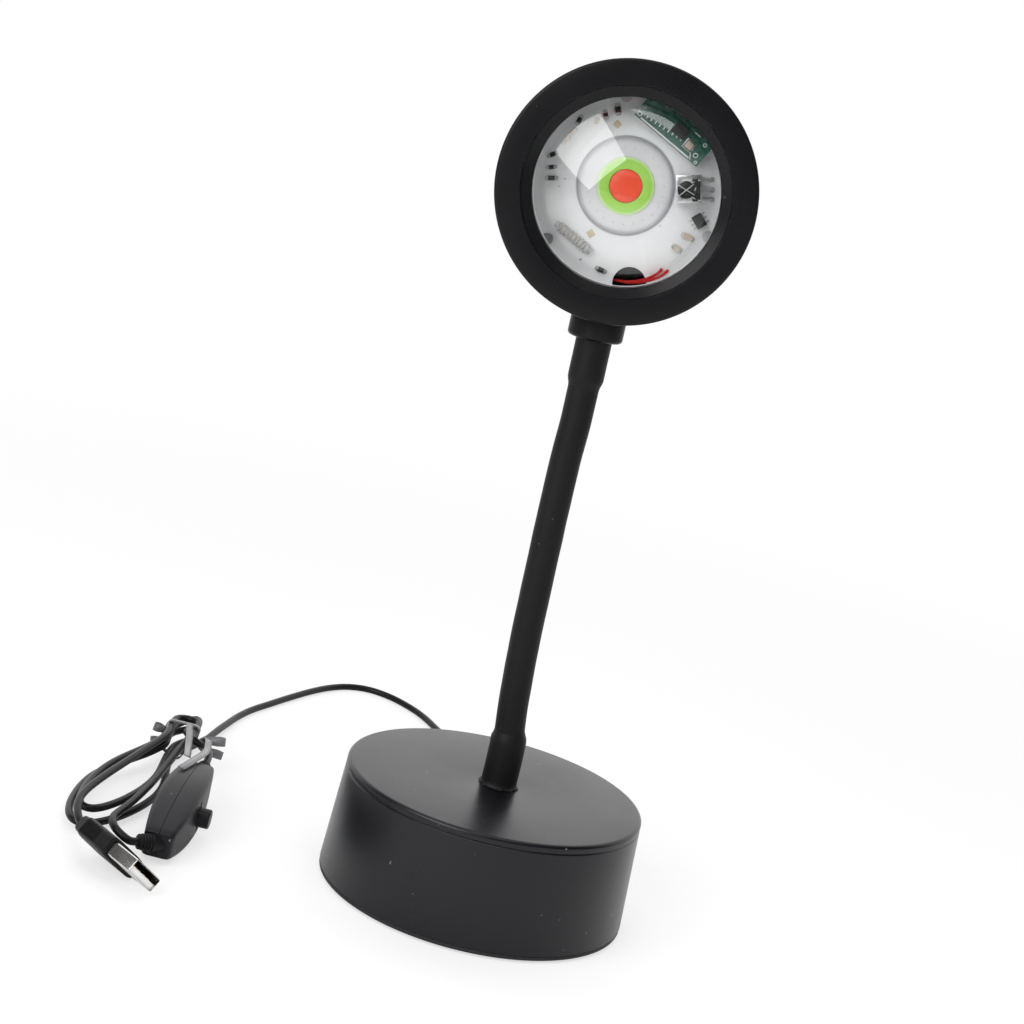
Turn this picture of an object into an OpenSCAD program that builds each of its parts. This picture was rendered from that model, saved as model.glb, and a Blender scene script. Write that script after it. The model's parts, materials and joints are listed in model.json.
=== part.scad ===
// Sunset projection lamp: a weighted drum base, a sleeved gooseneck, a round
// projector head and a cord with an inline push switch and a USB-A plug.
// Origin: middle of the underside. +Z is up, the lens looks along -Y. Millimetres.

/* [Base] */
// Diameter of the drum at the floor
base_d = 95; // [88:0.5:110]
// Diameter of the drum at its top edge
base_top_d = 91.8; // [86:0.2:95]
// Height of the base above the floor
base_h = 36.2; // [32:0.2:48]
// Wall of the drum shell
shell_wall = 1.6; // [1.2:0.1:2.4]
// Rounding of the drum's top edge
rim_r = 1.5; // [1:0.1:2.5]
// Thickness of the soft foot pad
pad_t = 0.8; // [0.5:0.1:2]
// Thickness of the bottom plate
plate_t = 1.2; // [1:0.1:2]
// Thickness of the ballast disc
weight_t = 12; // [6:0.5:13]
// Distance of the three screw posts from the middle
post_ring_r = 34; // [28:0.5:36]
// Height of the cord outlet above the floor
outlet_z = 8; // [7:0.5:10]

/* [Neck] */
// Sideways place of the neck in the drum's top
neck_x = 0.7; // [-3:0.1:3]
// Outside diameter of the sleeve
sleeve_d = 9.2; // [8.8:0.1:10.6]
// Wall of the sleeve
sleeve_wall = 0.7; // [0.5:0.05:0.8]
// Outside diameter of the sleeve where it covers a ferrule
cuff_d = 11; // [10.8:0.1:13]
// Length of the part that stands straight in the lower ferrule
foot_len = 13; // [11:0.5:16]
// Length of the first free bend
first_len = 11; // [10:0.5:14]
// Length of each hose link
link_len = 13; // [11:0.5:16]
// Length of the straight top end
top_len = 24.5; // [20:0.5:28]
// Outside diameter of the steel hose
hose_d = 7.2; // [6.8:0.1:7.4]
// Bore of the steel hose
hose_bore = 2.6; // [2.2:0.1:2.8]
// Diameter of the thread at both ends of the neck
stub_d = 7.8; // [7.4:0.1:8.2]

/* [Head] */
// Diameter of the front bezel
bezel_d = 73.4; // [70:0.2:82]
// Depth of the bezel's visible rim
bezel_t = 7; // [6:0.5:10]
// Diameter of the step in the bezel's face
step_d = 59; // [56:0.5:64]
// Diameter of the opening in front of the lens
opening_d = 52.6; // [46:0.2:54]
// Diameter of the housing barrel
housing_d = 72.8; // [70:0.2:76]
// Wall of the housing barrel
housing_wall = 1.6; // [1.2:0.1:2]
// Length of the housing barrel
housing_len = 37; // [34:0.5:46]
// Distance from the neck's axis forward to the barrel's mouth
mouth_y = 18; // [16:0.5:22]
// Height of the lens dome over its flange
lens_sag = 8; // [5:0.5:10]
// Height of the head's axis above the collar's underside
head_rise = 44; // [43:0.5:52]
// Diameter of the collar under the head
collar_d = 16.4; // [15:0.2:19]
// Diameter of the white lamp board
board_d = 57.2; // [54:0.2:57.6]
// Distance from the neck's axis forward to the board's front
board_y = 5; // [4:0.5:7]
// Diameter of the lamp module
module_d = 27.6; // [22:0.2:28]
// Diameter of the round colour filter
filter_d = 16.4; // [12:0.2:20]
// Diameter of the filter's red centre
filter_core_d = 9.4; // [6:0.2:11]

/* [Cord, switch and plug] */
// Diameter of the cord
cord_d = 2.4; // [2:0.1:2.6]
// Length of the switch case
case_len = 53.5; // [50:0.5:70]
// Width of the switch case
case_w = 16; // [14.5:0.5:18]
// Thickness of the switch case, through the button
case_t = 13.6; // [13:0.2:15]
// Wall of the switch case
case_wall = 1.4; // [1.1:0.1:1.8]
// Diameter of the push button
button_d = 6; // [4:0.2:7]
// How far the button stands out of the case
button_out = 3.6; // [2.5:0.1:5]
// Travel of the push button
button_travel = 1.5; // [1:0.1:2]
// Length of the plug's moulded grip
grip_len = 17; // [15:0.5:22]
// Width of the plug's moulded grip
grip_w = 16; // [14.4:0.2:17]
// Thickness of the plug's moulded grip
grip_t = 6.4; // [6.2:0.2:8]
// Length of metal shell that stands out of the grip
shell_out = 11.5; // [11:0.5:13]

/* [Hidden] */

$fn = 64;
eps = 0.01;

// Fits between pieces
run_gap = 0.05; // a shaft in its own hole
seat_gap = 0.1; // a curved face beside another
pass_gap = 0.2; // a hole that something passes through

// Base
shell_z = pad_t + plate_t;
base_r = base_d / 2;
base_top_r = base_top_d / 2;
seam_drop = 2.6;
seam_depth = 0.3;
seam_half = 0.25;
plate_r = base_r - 0.1;
pad_r = base_r - 3.5;
weight_r = base_r - 5.5;
weight_bore_r = 12;
channel_w = 9;
post_r = 3.2;
post_angles = [30, 150, 270];
screw_r = 1.05;
screw_head_r = 2.6;
screw_len = 9;
grommet_r = 3.4;
grommet_flange_r = 5;
grommet_flange_t = 1.5;
grommet_tail = 14;
grommet_in = 3;
lead_r = 0.9;

// Neck
stub_r = stub_d / 2;
hose_r = hose_d / 2;
bore_r = hose_bore / 2;
lead_hole_r = 1.6;
ferrule_r = 4.45;
socket_depth = 10;
stub_len = 10;
nut_t = 4;
nut_flats = 13;
washer_t = 1;
washer_r = 8;
ball_r = hose_r - 0.55;
cup_gap = 0.1;
cup_r = ball_r + cup_gap;
cup_drop = 1;
shoulder_drop = 2.5;
stem_r = 2.2;
knee_over = 0.35;
knee_rise = 0.5;
rib_pitch = 1.9;
rib_depth = 0.35;
flex_links = 7;
hose_stop = 3;
ferrule_drop = 11.5;
// How far the neck leans to +X, from the foot to the head, in degrees
lean = [0, -6.5, -3.7, -2.6, -1.3, -1.3, -1.1, -0.7, 1.5, -1.2];
// How far the neck nods forward, from the foot to the head, in degrees
nod = [0, 0, 0, 0, 0, 0, 0, 0, 0, 0];
span = [foot_len, first_len, for (i = [1:flex_links]) link_len, top_len];
neck_len = total(span, len(span));
cuff_low = foot_len + 2;
cuff_high = neck_len - 11.8;
cuff_taper = 2.6;
lip_r = cuff_d / 2 + 0.9;
lip_h = 0.5;
sleeve_clear = 0.3;

// Head
housing_r = housing_d / 2;
housing_in_r = housing_r - housing_wall;
back_y = mouth_y - housing_len;
front_y = mouth_y + bezel_t;
bezel_r = bezel_d / 2;
bezel_edge = 0.8;
step_t = 1;
dish_t = 1.4;
lip_t = 3.4;
spigot_len = 7;
spigot_r = housing_in_r - pass_gap;
flange_r = opening_d / 2 + 1.8;
flange_t = 3;
seat_y = front_y - step_t - dish_t - lip_t;
flange_y = seat_y - seat_gap;
gasket_t = 0.8;
retainer_t = 3;
dome_a = opening_d / 2 - pass_gap;
dome_r = (dome_a * dome_a + lens_sag * lens_sag) / (2 * lens_sag);
board_r = board_d / 2;
board_t = 1.6;
board_turn = 13;
notch_x = 0.4;
notch_r = 4.9;
notch_up = 2;
lug_t = 2;
lug_w = 8;
lug_in_r = 25.4;
lug_angles = [90, 210, 330];
lug_screw_r = 26.6;
lug_bore_r = 0.95;
sink_r = lug_in_r - 1;
sink_t = 3;
fin_len = 12;
fin_t = 1.2;
fin_pitch = 6;
cover_t = 2;
cover_round = 2.5;
cover_skirt = 4;
vent_count = 12;
vent_w = 2.2;
vent_in_r = 12;
vent_out_r = 27;
collar_edge = 1.2;
collar_top = 11;
locknut_flats = 12;
locknut_t = 3.4;
collar_seat = head_rise - housing_r;
locknut_z = head_rise - sqrt(pow(housing_in_r, 2) - pow(7, 2)) + seat_gap;
head_stub = locknut_z + locknut_t + 1.2;
module_at = [-0.4, 1.4];
module_t = 1;
module_rim = 0.6;
filter_t = 0.5;
core_t = 0.9;
daughter_at = [13.8, 17.4];
daughter_turn = -40.4;
daughter_w = 23;
daughter_d = 9;
daughter_t = 1;
daughter_lift = 3;
pin_pitch = 2;
pin_count = 10;
pin_over = 1.4;
can_at = [17.6, 0.4];
can_w = 7.2;
can_d = 7.8;
can_h = 5;
can_wall = 0.4;
eye_r = 2.3;
coil_at = [-15.5, -13];
coil_turn = -40.7;
coil_len = 13;
coil_r = 1.5;
coil_turns = 9;

// Black chips on the board: x, up, width, depth, height, turn
chip_rows = [
    [20.5, -8.8, 3, 3.9, 1.4, 30], [-21.6, 3.9, 2.6, 1.3, 1, 0],
    [-21.6, 7, 2, 1.2, 0.6, 4], [-21.2, 10.6, 2.2, 1.3, 0.6, 20],
    [-13.5, 20.1, 2.2, 1.3, 0.6, 60], [-6, 21.5, 1.3, 1.8, 0.6, 15],
    [-2.5, 22.9, 1.6, 2.3, 0.8, 8], [-7.7, -22.4, 2.4, 1.4, 1, -25]
];
// Pale capacitors and pads on the board: x, up, width, depth, height, turn
pale_rows = [
    [17.2, -13.3, 2.8, 1.7, 1, -28], [14.1, -16.5, 2.2, 1.6, 0.8, -35],
    [-17.2, 14.5, 2.2, 1.3, 0.6, 40], [-15.2, 16.8, 2, 1.2, 0.6, 45],
    [-8.5, 19.8, 2, 1.3, 0.6, 70], [-2.7, 18.7, 1.8, 1.8, 0.4, 45],
    [-10.5, -12, 2, 2, 0.4, 30]
];

// Cord
cord_r = cord_d / 2;
floor_z = cord_r + 0.1;
outlet_y = base_r + seat_gap + grommet_flange_t + grommet_tail;
// The cord from the outlet to the hank, over the floor
free_route = [
    [0, outlet_y, outlet_z], [0, outlet_y + 3, outlet_z], [-0.5, 75, 6.4],
    [-2, 84, 3.6], [-4.5, 94, 1.9], [-8, 105, floor_z], [-13, 118, floor_z],
    [-19, 132, floor_z], [-24, 142.5, floor_z], [-28, 150, floor_z],
    [-33, 158.5, floor_z], [-39, 165.8, floor_z], [-47.5, 172.8, floor_z],
    [-56.5, 175.8, floor_z], [-64.5, 173.2, floor_z], [-71.2, 165.9, floor_z],
    [-77.3, 154.8, floor_z], [-83, 141.6, floor_z], [-88, 129, floor_z],
    [-92.8, 116.5, floor_z], [-95.8, 105, floor_z], [-97.4, 94, 1.6],
    [-98.6, 84, 2], [-99.6, 74, 2.3]
];
// The cord from the switch back through the tie and round to the plug
tail_route = [
    [-101.2, -42.8, 8], [-103.9, -41.2, 9], [-105.7, -38.1, 9.4],
    [-106.5, -34.4, 9.5], [-106.2, -30, 9.5], [-105.4, -24.5, 9.5],
    [-104.4, -16, 9.5], [-103.3, -2, 9.7], [-102.6, 14, 10.2],
    [-101.8, 30, 11.5], [-101.3, 40, 12], [-101.2, 48, 12],
    [-101.35, 55.2, 12], [-102.5, 58, 12], [-105.3, 59.2, 12],
    [-108.1, 58, 12], [-109.25, 55.2, 12], [-109, 48, 12],
    [-108.5, 40, 12], [-109.4, 32, 11.8], [-111.8, 20, 11.3],
    [-114.9, 4, 10.8],
    [-117.4, -10, 10.4], [-118.8, -22, 10], [-118.4, -30, 9.4],
    [-116.2, -37, 8.3]
];
// The hank: its middle line, its reach and the waist where the tie pinches it
hank_top = [-105.2, 72];
hank_end = [-117.8, -28];
hank_turns = 2;
hank_start = 0.135;
hank_low = cord_r + 0.1;
hank_pitch = cord_d + 0.6;
waist_at = 0.275;
waist_w = 2.3;
waist_lift = 1;
fan_w = 9;
fan_reach = 0.26;
crown_w = 6;
crown_reach = 0.09;
hank_steps = 24;
// Width and reach of the turns, as shares, from the first to the last
turn_w = [[0, 1], [0.7, 1.05], [1.2, 0.62], [1.75, 0.7], [2.3, 0.5]];
turn_reach = [[0, 1], [0.5, 1], [1, 0.97], [1.5, 0.9], [2, 1.03], [2.3, 1]];
tie_w = 2.4;
tie_t = 0.6;

// Switch
case_at = [-91.6, -11.74, 8.06];
case_pitch = 4.6;
case_end_w = 8.4;
case_end_t = 8.6;
case_edge = 9.5;
case_end_edge = 5.2;
button_x = 2.25;
button_flange = 1.1;
flange_over = 1.4;
notch_w = 1.6;
latch = [13, 8.4, 4];
stem_hole_r = 1.4;
relief_r = 3;
relief_end_r = 2.2;
relief_neck_r = 2.5;
relief_len = 7;
relief_turn = 52;
relief_rise = 14;
low_in = 1.6;
low_side = 0.6;
low_neck = 3;
low_ribs = 4.5;
screw_x = 17;
boss_r = 2.4;
case_half = case_t / 2;
inner_z = case_half - case_wall - 0.5;
flange_z = inner_z - 0.3 - button_flange;
latch_top = flange_z - button_travel - 0.3;

// Plug
plug_root = [-97.4, -56.4, 7.1];
plug_turn = -43.9;
plug_pitch = 0.7;
plug_roll = -39;
shell_w = 12;
shell_t = 4.5;
shell_gauge = 0.3;
shell_in = 5;
tongue_t = 1.9;
contact_w = 1.1;
contact_pitch = 2.3;
groove_count = 8;
groove_pitch = 1.2;
tail_len = 3;

// ---------------------------------------------------------------- functions

function total(v, n) = n <= 0 ? 0 : v[n - 1] + total(v, n - 1);
function unit(v) = v / norm(v);

// Direction of a neck span, and the point where it ends
function heading(i) = [
    cos(nod[i]) * sin(lean[i]), -sin(nod[i]), cos(nod[i]) * cos(lean[i])
];
function joint_at(i) =
    i < 0 ? [neck_x, 0, base_h] : joint_at(i - 1) + span[i] * heading(i);

// A point of the neck's middle line, a given length above the drum's top
neck_table = concat(
    [[-10, [neck_x, 0, base_h] - 10 * heading(0)]],
    [[0, [neck_x, 0, base_h]]],
    [for (i = [0:len(span) - 1]) [total(span, i + 1), joint_at(i)]],
    [[neck_len + 30, joint_at(len(span) - 1) + 30 * heading(len(span) - 1)]]
);
function bent(s) = [
    for (k = [0:2]) lookup(s, [for (row = neck_table) [row[0], row[1][k]]])
];
function neck_at(s) = (bent(s - 3) + 2 * bent(s) + bent(s + 3)) / 4;

// A smooth curve through a route's points, with n steps between them
function curve(p, n) = concat(
    [for (i = [0:len(p) - 2]) for (k = [0:n - 1]) between(p, i, k / n)],
    [p[len(p) - 1]]
);
function between(p, i, u) = let (
    a = p[max(i - 1, 0)], b = p[i], c = p[i + 1],
    d = p[min(i + 2, len(p) - 1)], m = (c - a) / 2, q = (d - b) / 2
) b * (2 * pow(u, 3) - 3 * u * u + 1) + m * (pow(u, 3) - 2 * u * u + u)
    + c * (3 * u * u - 2 * pow(u, 3)) + q * (pow(u, 3) - u * u);

// Middle line of the hank: turn t goes down one side and up the other
function pinch(a) = a < waist_at
    ? fan_w * (1 - exp(-pow((a - waist_at) / fan_reach, 2)))
    : crown_w * (1 - exp(-pow((a - waist_at) / crown_reach, 2)));
function hank_at(t) = let (
    across = unit([hank_top[1] - hank_end[1], hank_end[0] - hank_top[0]]),
    middle = (hank_top + hank_end) / 2, half = (hank_top - hank_end) / 2,
    a = cos(360 * t) / 2, w = waist_w + pinch(a) * lookup(t, turn_w),
    p = middle + half * 2 * a * lookup(t, turn_reach)
        + across * w * sin(360 * t),
    lift = waist_lift * exp(-pow((a - waist_at) / 0.2, 2))
) [p[0], p[1], hank_low + hank_pitch * t + lift];

// ------------------------------------------------------------------ helpers

// Rings of a tube along points, with one radius for each point
function side_of(d) = abs(d[2]) > 0.9 ? unit(cross([0, 1, 0], d))
    : unit(cross([0, 0, 1], d));
function along(p, i) = unit(p[min(i + 1, len(p) - 1)] - p[max(i - 1, 0)]);
function ring(c, d, r, n) = let (s = side_of(d), u = cross(d, s))
    [for (k = [0:n - 1]) c + r * (cos(360 * k / n) * s + sin(360 * k / n) * u)];

module tube(p, r, n) {
    m = len(p);
    points = [for (i = [0:m - 1]) each ring(p[i], along(p, i), r[i], n)];
    walls = [for (i = [0:m - 2]) for (k = [0:n - 1]) let (
        a = i * n + k, b = i * n + (k + 1) % n
    ) each [[a, a + n, b + n], [a, b + n, b]]];
    caps = [for (k = [1:n - 2]) each [
        [0, k, k + 1], [(m - 1) * n, (m - 1) * n + k + 1, (m - 1) * n + k]
    ]];
    polyhedron(points, concat(walls, caps));
}

// A tube of one radius
module cord(p, r, n) tube(p, [for (i = p) r], n);

// A tube with a bore
module hollow(p, r_out, r_in, n) {
    m = len(p);
    points = [for (i = [0:m - 1]) each concat(
        ring(p[i], along(p, i), r_out[i], n), ring(p[i], along(p, i), r_in[i], n)
    )];
    walls = [for (i = [0:m - 2]) for (k = [0:n - 1]) let (
        a = 2 * i * n + k, b = 2 * i * n + (k + 1) % n, c = a + n, d = b + n
    ) each [
        [a, a + 2 * n, b + 2 * n], [a, b + 2 * n, b],
        [c, d + 2 * n, c + 2 * n], [c, d, d + 2 * n]
    ]];
    ends = [for (k = [0:n - 1]) let (
        a = k, b = (k + 1) % n, z = 2 * (m - 1) * n
    ) each [
        [a, b, b + n], [a, b + n, a + n],
        [z + a, z + b + n, z + b], [z + a, z + a + n, z + b + n]
    ]];
    polyhedron(points, concat(walls, ends));
}

module ringed(r_out, r_in, z, h) translate([0, 0, z]) difference() {
    cylinder(r = r_out, h = h);
    translate([0, 0, -1]) cylinder(r = r_in, h = h + 2);
}

module hex_nut(flats, h, r) difference() {
    cylinder(d = flats / cos(30), h = h, $fn = 6);
    translate([0, 0, -1]) cylinder(r = r, h = h + 2);
}

module box(size, at = [0, 0, 0]) translate(at - [size[0] / 2, size[1] / 2, 0])
    cube(size);

// Places a piece on a link of the neck, with its lower joint at the origin
module on_link(i) translate(joint_at(i - 1)) rotate([nod[i], lean[i], 0])
    children();
module on_foot() translate([neck_x, 0, base_h]) children();
// Head frame: z = 0 is the underside of the collar, on the neck's axis
module on_head() translate(joint_at(len(span) - 1))
    rotate([nod[len(span) - 1], lean[len(span) - 1], 0]) children();
// Lens frame: z runs forward out of the lens, y runs up
module on_lens() on_head() translate([0, 0, head_rise]) rotate([90, 0, 0])
    children();
module on_board() on_lens() translate([0, 0, board_y]) rotate(board_turn)
    children();
module on_module() on_board() translate(module_at) children();
// Switch frame: z is the button's axis, x runs towards the plug's end
module on_switch() translate(case_at) rotate([case_pitch, 0, 0])
    rotate([-90, 0, 0]) rotate([0, 90, 0]) children();
// Plug frame: x runs to the tip, with the grip's front face at x = 0
module on_plug() translate(plug_root) rotate([0, 0, plug_turn])
    rotate([0, plug_pitch, 0]) rotate([plug_roll, 0, 0]) children();

// --------------------------------------------------------------------- base

module drum_outline(inset) {
    r0 = base_r - inset;
    r1 = base_top_r - inset;
    top = base_h - inset;
    round_r = max(rim_r - inset, 0.3);
    polygon([[0, shell_z], [r0, shell_z], [r1, top - round_r],
        [r1 - round_r, top - round_r], [r1 - round_r, top], [0, top]]);
    translate([r1 - round_r, top - round_r]) circle(round_r);
}

module base_shell() color([0.16, 0.16, 0.17]) difference() {
    union() {
        rotate_extrude($fn = 128) difference() {
            drum_outline(0);
            difference() {
                drum_outline(shell_wall);
                translate([-1, -1]) square([1, base_h + 2]);
            }
            translate([-eps, shell_z - 1])
                square([base_r - shell_wall + eps, 1 + eps]);
            translate([base_top_r + 0.1, base_h - seam_drop]) polygon([
                [0.2, -seam_half - 0.1], [0.2, seam_half + 0.1],
                [-seam_depth, 0]
            ]);
        }
        for (a = post_angles) rotate(a) translate([post_ring_r, 0, shell_z])
            cylinder(r = post_r, h = base_h - shell_wall / 2 - shell_z);
    }
    for (a = post_angles) rotate(a) translate([post_ring_r, 0, shell_z - 1])
        cylinder(r = screw_r + run_gap, h = screw_len + 3);
    translate([neck_x, 0, base_h - shell_wall - 1])
        cylinder(r = stub_r + pass_gap, h = shell_wall + 2);
    translate([0, base_r - shell_wall - 4, outlet_z]) rotate([-90, 0, 0])
        cylinder(r = grommet_r + run_gap, h = 8);
}

module base_weight() color([0.3, 0.3, 0.31]) difference() {
    translate([0, 0, shell_z]) cylinder(r = weight_r, h = weight_t, $fn = 128);
    translate([0, 0, shell_z - 1])
        cylinder(r = weight_bore_r, h = weight_t + 2);
    for (a = post_angles) rotate(a) translate([post_ring_r, 0, shell_z - 1])
        cylinder(r = post_r + pass_gap, h = weight_t + 2);
    box([channel_w, base_r, weight_t + 2], [0, base_r / 2, shell_z - 1]);
}

module base_plate() color([0.12, 0.12, 0.12]) difference() {
    translate([0, 0, pad_t]) cylinder(r = plate_r, h = plate_t, $fn = 128);
    for (a = post_angles) rotate(a) translate([post_ring_r, 0, pad_t - 1])
        cylinder(r = screw_head_r + run_gap, h = plate_t + 2);
}

module base_pad() color([0.08, 0.08, 0.08])
    cylinder(r = pad_r, h = pad_t, $fn = 128);

module plate_screws() color("silver") for (a = post_angles)
    rotate(a) translate([post_ring_r, 0, pad_t]) {
        cylinder(r = screw_head_r, h = plate_t);
        cylinder(r = screw_r, h = plate_t + screw_len);
    }

module neck_washer() color("silver")
    on_foot() translate([0, 0, -shell_wall])
        ringed(washer_r, stub_r + pass_gap, -washer_t, washer_t);

module neck_nut() color("silver") on_foot()
    translate([0, 0, -shell_wall - washer_t - nut_t])
        hex_nut(nut_flats, nut_t, stub_r + run_gap);

module lower_ferrule() color([0.72, 0.6, 0.3]) on_foot() difference() {
    union() {
        translate([0, 0, -stub_len]) cylinder(r = stub_r, h = stub_len + 1);
        cylinder(r = ferrule_r, h = foot_len - 0.3);
    }
    translate([0, 0, -stub_len - 1]) cylinder(r = lead_hole_r, h = 40);
    translate([0, 0, foot_len - socket_depth])
        cylinder(r = hose_r + run_gap, h = socket_depth + 1);
}

// A moulded cord outlet: flange outside, groove in the wall, ribbed tail
module cord_grommet() color([0.1, 0.1, 0.1])
    translate([0, base_r + seat_gap, outlet_z]) rotate([-90, 0, 0]) {
        cylinder(r = grommet_flange_r, h = grommet_flange_t);
        translate([0, 0, -shell_wall - grommet_in])
            cylinder(r = grommet_r - 0.4, h = shell_wall + grommet_in + 1);
        translate([0, 0, -shell_wall - 1])
            cylinder(r = grommet_r, h = shell_wall + 1.5);
        rotate_extrude() polygon(concat(
            [[0, 0]],
            [for (i = [0:5]) each let (
                z = grommet_flange_t + i * grommet_tail / 6,
                r = 3.1 - i * 0.22
            ) [[r, z], [r - 0.1, z + grommet_tail / 6 - 0.9],
                [r - 0.6, z + grommet_tail / 6 - 0.8],
                [r - 0.6, z + grommet_tail / 6]]],
            [[0, grommet_flange_t + grommet_tail]]
        ));
    }

module base_lead() color([0.1, 0.1, 0.1]) {
    y0 = base_r + seat_gap - shell_wall - grommet_in;
    z1 = base_h - stub_len;
    cord(curve([
        [0, y0, outlet_z], [0, y0 - 3, outlet_z], [0, 30, outlet_z],
        [0, 20, outlet_z + 1.5], [neck_x / 2, 10, outlet_z + 6],
        [neck_x, 3, outlet_z + 12], [neck_x, 0.5, z1 - 2.5], [neck_x, 0, z1]
    ], 2), lead_r, 8);
}

// --------------------------------------------------------------------- neck

// A length of steel hose: cup below, ribbed wall, ball above
module hose_body(from, length, ball) {
    wall = length - from - (ball ? shoulder_drop : 0);
    translate([0, 0, from]) rotate_extrude()
        polygon(concat([[0, 0]], ribs(wall), [[0, wall]]));
    if (ball) {
        translate([0, 0, length - shoulder_drop - eps])
            cylinder(r = stem_r, h = shoulder_drop);
        translate([0, 0, length]) sphere(r = ball_r);
    }
}
module hose(length, ball) difference() {
    hose_body(-cup_drop, length, ball);
    sphere(r = cup_r);
    translate([0, 0, -cup_drop - 1]) cylinder(r = bore_r, h = length + 20);
}
function ribs(h) = let (n = floor(h / rib_pitch), p = h / n)
    [for (i = [0:n - 1]) each [
        [hose_r, i * p], [hose_r, i * p + p * 0.55],
        [hose_r - rib_depth, i * p + p * 0.7],
        [hose_r - rib_depth, i * p + p * 0.9], [hose_r, (i + 1) * p]
    ]];

// The lowest length: crimped straight in the ferrule, then bent at a knee
module hose_foot() color("silver") difference() {
    union() {
        on_foot() translate([0, 0, foot_len - socket_depth])
            cylinder(r = hose_r, h = socket_depth);
        on_foot() translate([0, 0, foot_len - 0.25])
            cylinder(r = hose_r + knee_over, h = 1.5);
        on_link(1) hose_body(knee_rise, first_len, true);
    }
    on_foot() cylinder(r = lead_hole_r, h = foot_len + 0.9);
    on_link(1) translate([0, 0, knee_rise])
        cylinder(r = bore_r, h = first_len + 9);
}

module hose_link(i) color("silver") on_link(i + 1) hose(link_len, true);

module hose_top() color("silver")
    on_link(flex_links + 2) hose(top_len - hose_stop, false);

module upper_ferrule() color([0.72, 0.6, 0.3]) on_head() difference() {
    union() {
        translate([0, 0, -ferrule_drop])
            cylinder(r = ferrule_r, h = ferrule_drop - seat_gap);
        translate([0, 0, -1]) cylinder(r = stub_r, h = head_stub + 1);
    }
    translate([0, 0, -ferrule_drop - 1]) {
        cylinder(r = lead_hole_r, h = ferrule_drop + head_stub + 2);
        cylinder(r = hose_r + run_gap, h = ferrule_drop + 1.1 - hose_stop);
    }
}

stations = [
    0.2, lip_h + 0.2, 1.5, 4, 8, 12, cuff_low, cuff_low + cuff_taper,
    for (s = [cuff_low + 8:7:cuff_high - cuff_taper - 4]) s,
    cuff_high - cuff_taper, cuff_high, cuff_high + 7, neck_len - 0.2
];
function cuff(s, r) = lookup(s, [
    [cuff_low, cuff_d / 2], [cuff_low + cuff_taper, r],
    [cuff_high - cuff_taper, r], [cuff_high, cuff_d / 2 - 0.15]
]);
module neck_sleeve() color([0.1, 0.1, 0.11]) hollow(
    [for (s = stations) neck_at(s)],
    [for (s = stations) s < 0.3 ? lip_r : cuff(s, sleeve_d / 2)],
    [for (s = stations) cuff(s, sleeve_d / 2) - sleeve_wall],
    24
);

module neck_lead() color([0.1, 0.1, 0.1]) cord(
    [for (s = [-stub_len:(neck_len + head_stub + stub_len + 2) / 24:
        neck_len + head_stub + 2.01]) neck_at(s)],
    lead_r, 8
);

// --------------------------------------------------------------------- head

module collar() color([0.05, 0.05, 0.05]) on_head() difference() {
    union() {
        translate([0, 0, collar_edge])
            cylinder(d = collar_d, h = collar_top - collar_edge);
        cylinder(r = collar_d / 2 - collar_edge, h = collar_top);
        translate([0, 0, collar_edge]) rotate_extrude()
            translate([collar_d / 2 - collar_edge, 0]) circle(collar_edge);
    }
    translate([0, 0, -1]) cylinder(r = stub_r + run_gap, h = collar_top + 2);
    translate([0, -20, head_rise]) rotate([-90, 0, 0])
        cylinder(r = housing_r + run_gap, h = 40, $fn = 128);
}

module head_locknut() color("silver") on_head()
    translate([0, 0, locknut_z]) hex_nut(locknut_flats, locknut_t,
        stub_r + run_gap);

module head_housing() color([0.14, 0.14, 0.15]) difference() {
    union() {
        on_lens() ringed(housing_r, housing_in_r, back_y, housing_len);
        on_lens() rotate(board_turn) for (a = lug_angles) intersection() {
            ringed(housing_in_r + housing_wall / 2, lug_in_r,
                board_y - board_t - lug_t, lug_t);
            rotate(a) box([housing_r, lug_w, 40],
                [housing_r / 2 + 15, 0, -20]);
        }
    }
    on_head() cylinder(r = stub_r + pass_gap, h = locknut_z + 2);
    on_lens() rotate(board_turn) for (a = lug_angles) rotate(a)
        translate([lug_screw_r, 0, -10])
            cylinder(r = lug_bore_r + run_gap, h = 20);
}

module rear_cover() color([0.12, 0.12, 0.13]) on_lens() difference() {
    translate([0, 0, back_y]) union() {
        rotate_extrude($fn = 128) {
            translate([0, -cover_t - cover_round])
                square([housing_r - cover_round, cover_t]);
            translate([0, -cover_round - eps])
                square([housing_r, cover_round + eps]);
            intersection() {
                translate([housing_r - cover_round, -cover_round])
                    scale([1, cover_t / cover_round]) circle(cover_round);
                translate([0, -cover_round - cover_t])
                    square([housing_r, cover_t + eps]);
            }
        }
        ringed(housing_in_r - pass_gap, housing_in_r - pass_gap - 1.4,
            -eps, cover_skirt);
    }
    translate([0, 0, back_y - cover_round + eps])
        cylinder(r = housing_in_r - pass_gap - 1.4, h = cover_round + 9);
    for (i = [0:vent_count - 1]) rotate(i * 360 / vent_count + 15)
        translate([0, 0, back_y - 9]) {
            translate([vent_in_r, -vent_w / 2, 0])
                cube([vent_out_r - vent_in_r, vent_w, 8]);
            for (r = [vent_in_r, vent_out_r]) translate([r, 0, 0])
                cylinder(d = vent_w, h = 8, $fn = 24);
        }
}

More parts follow.
